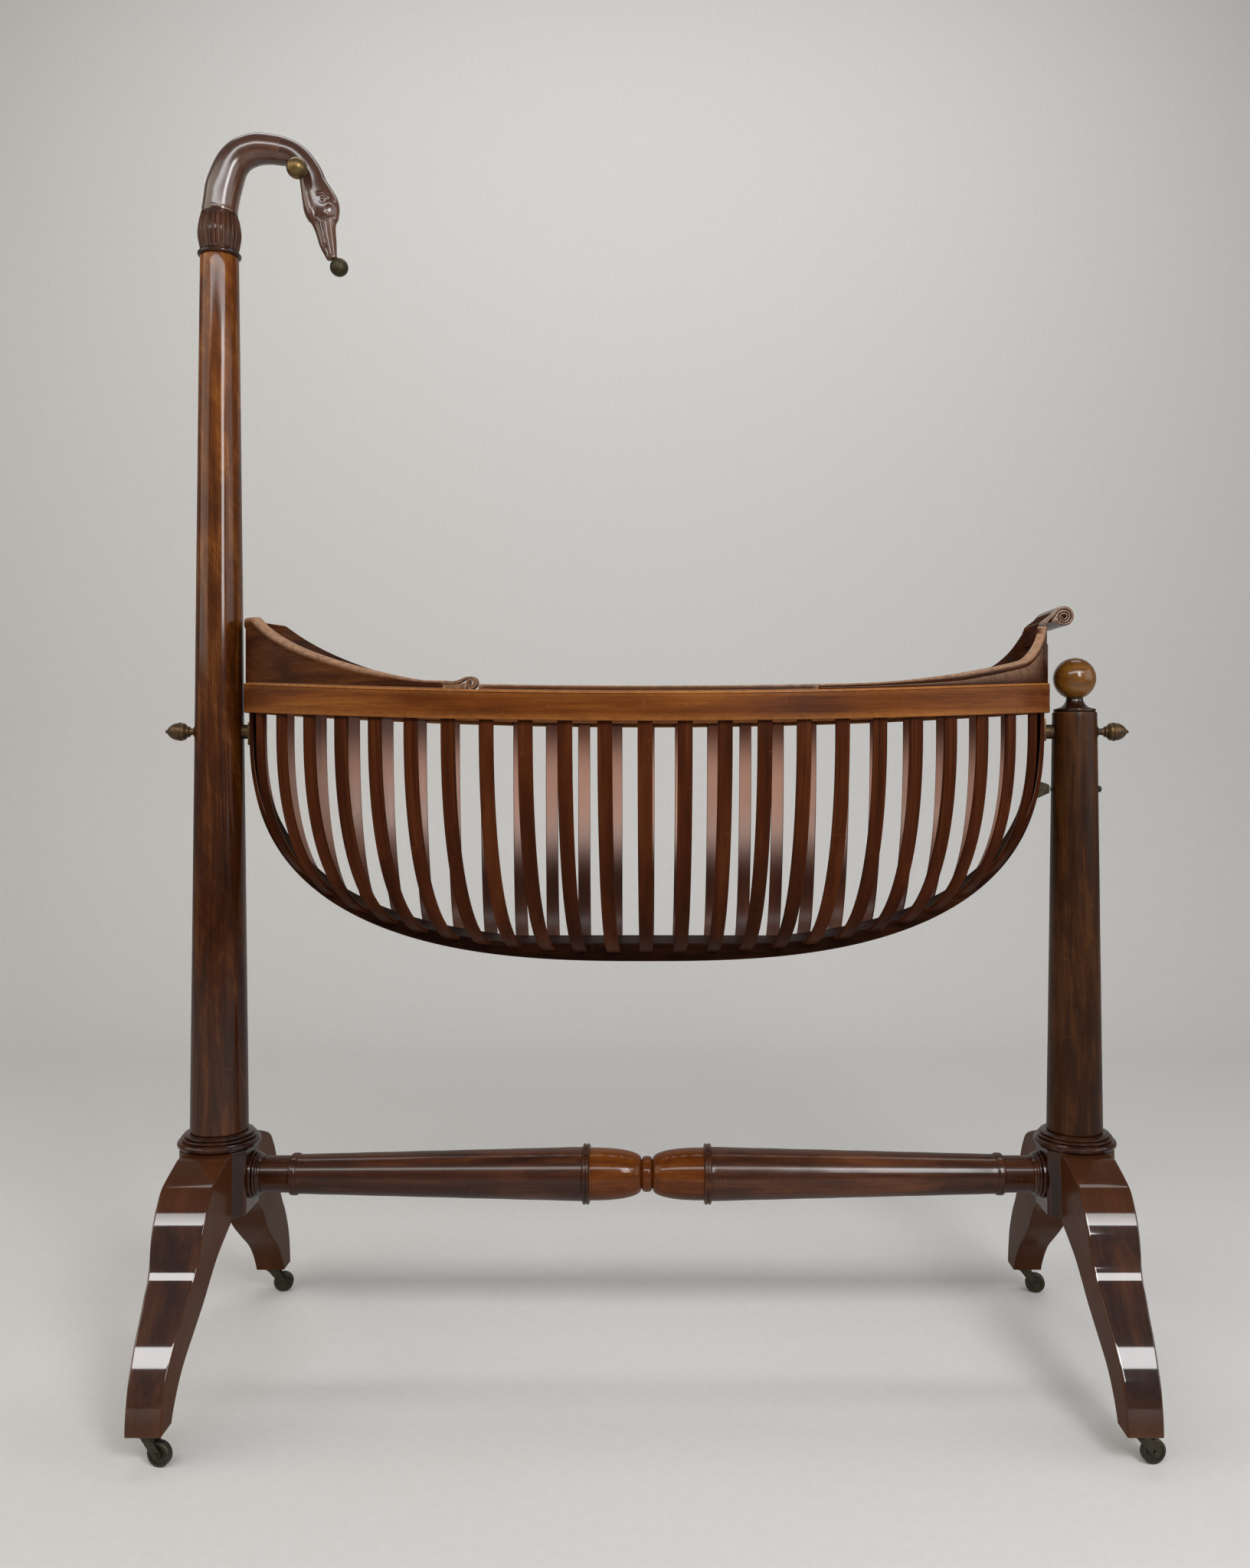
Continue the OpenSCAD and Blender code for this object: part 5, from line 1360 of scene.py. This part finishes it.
def cut_at_keel(mesh, walls):
    """walls: each lath's top, with the plane that it is cut on."""
    bm = bmesh.new()
    bm.from_mesh(mesh)
    for group in islands_of(bm):
        points = list(dict.fromkeys(v for face in group for v in face.verts))
        edges = list(dict.fromkeys(e for face in group for e in face.edges))
        crown = max(points, key=lambda v: v.co.z).co
        _, (spot, normal) = min(walls, key=lambda w: (w[0] - crown).length)
        cut = bmesh.ops.bisect_plane(
            bm, geom=points + edges + group, dist=1e-6, plane_co=spot, plane_no=normal,
            clear_inner=True)
        rim = [e for e in cut["geom_cut"] if isinstance(e, bmesh.types.BMEdge)]
        if rim:
            bmesh.ops.holes_fill(bm, edges=rim, sides=0)
    bmesh.ops.recalc_face_normals(bm, faces=bm.faces[:])
    bm.to_mesh(mesh)
    bm.free()


print("cutting ready")

# %% What a lath's finish reads
FIGURE_SHIFT, SIDE_SHIFT = 0.37, 5  # so that no two laths show the same figure
SHIFT_EVERY = 0.055
FACES_IN = -0.75


def store_lath_values(mesh, side):
    """Turns what the tree stored into the grain, and marks the laths' inner faces."""
    run = [0.0] * len(mesh.vertices)
    mesh.attributes["run"].data.foreach_get("value", run)
    across = [0.0] * (3 * len(mesh.vertices))
    mesh.attributes["across"].data.foreach_get("vector", across)
    grain, inner = [], []
    for i, vertex in enumerate(mesh.vertices):
        p = vertex.co
        shift = FIGURE_SHIFT * round(p.x / SHIFT_EVERY) + side * SIDE_SHIFT
        grain.append((run[i] + shift, across[3 * i] + shift, across[3 * i + 1]))
        out = Vector((p.x / LATH_A ** 2, p.y / LATH_B ** 2,
                      (p.z - SHOULDER_Z) / LATH_DEPTH ** 2))
        inner.append(float(vertex.normal.dot(out) < FACES_IN * out.length))
    for spare in ("run", "across"):
        mesh.attributes.remove(mesh.attributes[spare])
    store_grain(mesh, grain)
    store(mesh, "inner", inner)


print("lath values ready")

# %% The laths of each side
RUNS = {"head": range(-12, -4), "middle": range(-4, 5), "foot": range(5, 13)}
for way, side in (("near", -1), ("far", 1)):
    for run_name, places in RUNS.items():
        verts, edges, walls = [], [], []
        for k in places:
            line, wall = lath_line(k, side)
            edges += [(len(verts) + i, len(verts) + i + 1) for i in range(len(line) - 1)]
            verts += line
            walls.append((line[-1], wall))
        node = f"{way}_{run_name}_laths"
        lines = bpy.data.meshes.new(node + "_lines")
        lines.from_pydata([tuple(v) for v in verts], edges, [])
        mesh = run_tree(lath_tree, node + "_guide", lines, WOOD_LATH)
        mesh.name = node + "_bent"
        cut_at_keel(mesh, walls)
        store_lath_values(mesh, side)
        finish_piece(node + "_bent", mesh, WOOD_LATH, "basket", [node], wear=0.12)
        print(node, len(mesh.polygons), "faces")

# %% [markdown]
# ## Swan
# The neck is one thick bent rod that was carved at its end into a head. It is a loft of
# round rings along a curve. The head gets its features from small pushes in and out of
# that surface: an eye in its socket, a brow, a groove under the cheek, and the two
# halves of the beak.

# %% The swan's curve and carving
# Each station: across and up from the neck's foot in millimetres, then its half widths in
# the plane of the bend and across it, as shares of the neck's radius.
SWAN = [(0, 0, 1, 1), (3, 23, 1, 1), (7.5, 46, 1.02, 1), (19, 78, 0.95, 0.96), (32, 95, 0.92, 0.92),
        (47, 104, 0.91, 0.9), (64, 108.5, 0.89, 0.86), (86, 108, 0.83, 0.82), (104, 105, 0.8, 0.78),
        (121, 100, 0.72, 0.72), (135, 90, 0.69, 0.68), (145, 78, 0.68, 0.66),
        (152.5, 64.5, 0.7, 0.64), (157, 48, 0.79, 0.64), (162, 33.5, 0.92, 0.66),
        (167.5, 18, 1.03, 0.68), (171, 4.3, 1.02, 0.66), (173.5, -8.5, 0.88, 0.58),
        (174.5, -17, 0.7, 0.5), (176.5, -29, 0.59, 0.44), (180.5, -50, 0.5, 0.36),
        (185.5, -69, 0.34, 0.26), (187, -74.5, 0.28, 0.22)]
NECK_RADIUS = 28.5
HEAD_FROM = 8  # the station where the head begins
PER_STATION = 10
CARVING_DEPTH = 1.25


def bump(x, z, cx, cz, height, spread):
    return height * math.exp(-((x - cx) ** 2 + (z - cz) ** 2) / spread ** 2)


def line_push(x, z, points, height, spread):
    """Groove or ridge along a polyline, fading at its ends."""
    best = 1e9
    for (ax, az), (bx, bz) in zip(points, points[1:]):
        dx, dz = bx - ax, bz - az
        t = clamp01(((x - ax) * dx + (z - az) * dz) / (dx * dx + dz * dz))
        best = min(best, math.hypot(x - ax - dx * t, z - az - dz * t))
    return height * math.exp(-(best / spread) ** 2)


def carving(x, z):
    """Height of the head's carving on its two sides, in millimetres."""
    push = line_push(x, z, [(143, 55), (149, 32), (152, 17), (157, 0), (162.5, -17)], -2.3, 1.7)
    push += line_push(x, z, [(135, 45), (141, 20), (147, 0), (154, -16)], 0.9, 4.0)
    push += bump(x, z, 176, 9, -1.6, 7.0) + bump(x, z, 176, 9, 2.6, 3.4)
    push += line_push(x, z, [(168, 17), (176, 18), (184, 12)], 1.3, 2.2)
    push += bump(x, z, 188, 2, 2.2, 6.0) + bump(x, z, 182, -15, 1.2, 4.0)
    push += line_push(x, z, [(163, -17), (172, -24), (184, -22), (192, -18)], -1.7, 2.0)
    push += line_push(x, z, [(172, -26), (176, -50), (183, -80)], -1.5, 1.1)
    push += line_push(x, z, [(184, -26), (187, -50), (190, -80)], -1.0, 1.1)
    push += line_push(x, z, [(178, -27), (181, -50), (186, -78)], 1.1, 2.6)
    for k in range(3):
        push += line_push(x, z, [(174 + 2.2 * k, -62), (180 + 2 * k, -80)], -0.7, 0.6)
    return CARVING_DEPTH * push


print("swan stations:", len(SWAN))

# %% The swan's surface
def swan_seam(x, z, at_end, is_neck):
    """How far the surface draws in, in millimetres: at its ends and at the neck's rings."""
    seam = 0.3 if at_end else 0.0
    if is_neck:
        seam += 0.35 * math.exp(-((x - 60) / 0.7) ** 2) * (z > 90)
        seam -= 0.5 * math.exp(-((z - 4.5) / 2.2) ** 2)
    return seam


def swan_piece(name, first, last, rows, sides, node):
    stations = smooth_line(SWAN, PER_STATION)[first * PER_STATION:last * PER_STATION + 1]
    stations = even_line(stations, rows)
    verts, grain, run = [], [], 0.0
    for i, (x, z, share_in, share_side) in enumerate(stations):
        before, after = stations[max(i - 1, 0)], stations[min(i + 1, rows - 1)]
        way = Vector((after[0] - before[0], after[1] - before[1])).normalized()
        if i == 0 and first == 0:
            way = Vector((0, 1))
        run += (Vector((x, z)) - Vector(before[:2])).length
        seam = swan_seam(x, z, i in (0, rows - 1), not first)
        r_in, r_side = share_in * NECK_RADIUS - seam, share_side * NECK_RADIUS - seam
        for k in range(sides):
            t = 2 * math.pi * k / sides
            plane, y = r_in * math.cos(t), r_side * math.sin(t)
            px, pz = x + plane * way.y, z - plane * way.x
            if first:
                lift = carving(px, pz - 10) * min(1.0, abs(math.sin(t)) * 1.6)
                normal = Vector((math.cos(t) / r_in, math.sin(t) / r_side)).normalized()
                px += lift * normal.x * way.y
                pz -= lift * normal.x * way.x
                y += lift * normal.y
            verts.append((-POST_X + px * MM, y * MM, SWAN_NECK_Z + pz * MM))
            grain.append((run * MM, math.cos(t) * r_in * MM, math.sin(t) * r_side * MM))
    return piece(name, verts, tube_faces(rows, sides), WOOD_SWAN, "stand", [node],
                 grain=grain, angle=60)


swan_neck = swan_piece("swan_neck_bent", 0, HEAD_FROM, 120, 96, "swan_neck")
swan_head = swan_piece("swan_head_carved", HEAD_FROM, len(SWAN) - 1, 230, 144, "swan_head")
print("swan faces:", len(swan_neck.data.polygons) + len(swan_head.data.polygons))

# %% [markdown]
# ## Collar
# Where post and neck meet there is a collar of carved reeds that end in points. One reed
# is modelled on the collar's curve. A second Geometry Nodes tree copies it round the axis,
# and the dark core shows between the points.

# %% The collar's curve and core
COLLAR_Z, COLLAR_H = 1.8483, 64
collar_line = smooth_line([(0, 30.5), (7.7, 31.7), (28.8, 35), (48, 33), (64, 29.3)], 12)


def collar_r(h):
    for a, b in zip(collar_line, collar_line[1:]):
        if a[0] <= h <= b[0]:
            return a[1] + (b[1] - a[1]) * (h - a[0]) / max(1e-9, b[0] - a[0])
    return collar_line[-1][1]


core = [(0, 0), (0, 30.6, 0.3), (1.2, 31.4, 0.5), (2.6, 31.2, 0.5), (3.2, 29.8, 0.3)]
for i in range(3, 40):
    h = COLLAR_H * i / 40
    dip = 1.7 * clamp01((h - 2) / 3) * clamp01((61 - h) / 2)
    core.append((h, collar_r(h) - dip, 0.3))
core += [(63.9, 29.2, 0.3), (63.9, 0)]
turned("swan_collar_core", core, (-POST_X, 0, COLLAR_Z), "Z", WOOD_BLOCK, ["swan_collar"])
print("collar core: 1")

# %% The tree that sets the reeds round
reed_tree, given = new_tree("Ring of reeds", [
    ("Count", "NodeSocketInt", 24), ("Finish", "NodeSocketMaterial", None)])
spots = add_node(reed_tree, "GeometryNodeMeshLine", {"mode": "OFFSET"},
                 {"Count": given["Count"], "Offset": (0, 0, 0)})
index = add_node(reed_tree, "GeometryNodeInputIndex")
share = add_node(reed_tree, "ShaderNodeMath", {"operation": "DIVIDE"},
                 {0: index.outputs["Index"], 1: given["Count"]})
angle = add_node(reed_tree, "ShaderNodeMath", {"operation": "MULTIPLY"},
                 {0: share.outputs[0], 1: 2 * math.pi})
spin = add_node(reed_tree, "ShaderNodeCombineXYZ", {}, {"Z": angle.outputs[0]})
copies = add_node(reed_tree, "GeometryNodeInstanceOnPoints", {},
                  {"Points": spots.outputs["Mesh"], "Instance": given["Geometry"],
                   "Rotation": spin.outputs[0]})
end_tree(reed_tree, copies.outputs["Instances"], given["Finish"])

# %% Reeds round the collar
REED_DEPTH, REED_ROWS, REED_COLS = 2.2, 18, 8


def reed(low, high, half):
    """One reed on the front of the collar: rounded across, pointed at its top."""
    verts, row = [], REED_COLS + 1
    for i in range(REED_ROWS + 1):
        t = i / REED_ROWS
        h = low + (high - low) * t
        w = half * (1 - clamp01((t - 0.68) / 0.32) ** 1.6) ** 0.7 * (0.86 + 0.14 * clamp01(t * 5))
        for j in range(row):
            s = -1 + 2 * j / REED_COLS
            rise = (1 - s * s) ** 0.5 * clamp01((1.02 - t) * 9) ** 0.5
            r = collar_r(h) - REED_DEPTH + REED_DEPTH * rise
            a = -math.pi / 2 + s * max(0.05, w) / collar_r(h)
            verts.append((r * math.cos(a) * MM, r * math.sin(a) * MM, h * MM))
    faces = [(i * row + j, i * row + j + 1, (i + 1) * row + j + 1, (i + 1) * row + j)
             for i in range(REED_ROWS) for j in range(REED_COLS)]
    return verts, faces


verts, faces = reed(3.4, 62.0, 3.9)
pattern = bpy.data.meshes.new("reed_pattern")
pattern.from_pydata(verts, [], faces)
mesh = run_tree(reed_tree, "reed_ring", pattern, WOOD_COLLAR)
mesh.transform(Matrix.Translation((-POST_X, 0, COLLAR_Z)))
mesh.name = "swan_collar_reeds"
finish_piece("swan_collar_reeds", mesh, WOOD_COLLAR, "stand", ["swan_collar"],
             angle=60)
print("reed faces:", len(mesh.polygons))

# %% [markdown]
# ## Floor, light and camera
# The stage is plain. A pale sweep of paper runs under the cradle and up behind it. Dark
# polished wood shows little of its own colour and a lot of what stands around it, so each
# lamp is placed for the reflection that it draws. A wide window far to the left and a
# dimmer one at the right give the soft light. A short upright strip draws the bright line
# down the head post, and a long strip high behind the camera draws the bands on the legs
# and the line along the stretcher.

# %% The sweep
HALF_WIDE, NEAR_EDGE_Y, BEND_Y, BEND_R, PAPER_TOP_Z = 9.0, -9.0, 2.2, 1.2, 7.0
PAPER_SHADES = (0.56, 0.555, 0.545), (0.62, 0.615, 0.605)
bend = [math.radians(a) for a in range(10, 91, 10)]
profile = [(NEAR_EDGE_Y, 0.0), (BEND_Y, 0.0)]
profile += [(BEND_Y + BEND_R * math.sin(a), BEND_R - BEND_R * math.cos(a)) for a in bend]
profile += [(BEND_Y + BEND_R, PAPER_TOP_Z)]
verts = [(x, y, z) for x in (-HALF_WIDE, HALF_WIDE) for y, z in profile]
n = len(profile)
faces = [(i, i + 1, n + i + 1, n + i) for i in range(n - 1)]
mesh = bpy.data.meshes.new("paper_sweep")
mesh.from_pydata(verts, [], faces)
mesh.shade_smooth()
paper = Finish("pale_paper")
fibres = paper.noise(paper.position(), scale=60, detail=4)
mesh.materials.append(paper.surface(Base_Color=paper.mix(fibres, *PAPER_SHADES), Roughness=0.9))
place_object("paper_sweep", mesh)
print("stage ready")

# %% Lights
def soft_light(name, place, target, size, power, colour=(1, 1, 1)):
    lamp = bpy.data.lights.new(name, "AREA")
    lamp.shape = "RECTANGLE"
    lamp.size, lamp.size_y = size
    lamp.energy = power
    lamp.color = colour
    obj = place_object(name, lamp)
    obj.location = place
    obj.rotation_euler = (Vector(target) - Vector(place)).to_track_quat("-Z", "Y").to_euler()


soft_light("key_window", (-4.5, -1.7, 3.1), (0, 0, 0.9), (4.4, 3.4), 98, (1.0, 0.89, 0.74))
soft_light("right_window", (3.4, -1.4, 1.9), (0, 0, 1.1), (3.0, 2.4), 36)
soft_light("tall_strip", (1.15, -2.6, 2.17), (-0.5, 0, 1.4), (0.7, 1.2), 42)
soft_light("wide_strip", (0.0, -3.35, 3.4), (0, 0, 0.4), (6.4, 0.76), 132)
soft_light("backdrop_light", (0.0, 1.2, 4.6), (0, 3.3, 0.7), (4.5, 1.0), 60)
print("lights: 5")

# %% The light of the room
# The room is a little brighter where it is seen or reflected than where it lights.
ROOM_COLOUR = (0.93, 0.96, 1.0, 1)
ROOM_LIGHTS, ROOM_SEEN = 0.08, 0.20
world = bpy.data.worlds.new("soft_room")
bpy.context.scene.world = world
world.use_nodes = True
room = world.node_tree
ways = add_node(room, "ShaderNodeLightPath").outputs
seen = ways["Is Camera Ray"]
for way in ("Is Glossy Ray", "Is Transmission Ray"):
    seen = add_node(room, "ShaderNodeMath", {"operation": "MAXIMUM"}, {0: seen, 1: ways[way]})
    seen = seen.outputs[0]
level = add_node(room, "ShaderNodeMapRange", {},
                 {"Value": seen, "To Min": ROOM_LIGHTS, "To Max": ROOM_SEEN})
feed(room, room.nodes["Background"].inputs["Color"], ROOM_COLOUR)
feed(room, room.nodes["Background"].inputs["Strength"], level.outputs[0])
print("room ready")

# %% Camera
# The photograph is 2048 pixels high, and its focal length was fitted in pixels.
PHOTO_H, FOCAL_PX, SENSOR_MM = 2048, 1690, 36
EYE_PLACE = (0.027, -2.15, 1.017)
lens = bpy.data.cameras.new("camera")
lens.sensor_width = SENSOR_MM
lens.lens = FOCAL_PX / PHOTO_H * SENSOR_MM
lens.shift_x, lens.shift_y = -0.0244, -0.0195
camera = place_object("camera", lens)
camera.location = EYE_PLACE
camera.rotation_euler = (math.radians(90), 0, 0)
bpy.context.scene.camera = camera
bpy.context.scene.view_settings.view_transform = "Standard"
print("camera ready")
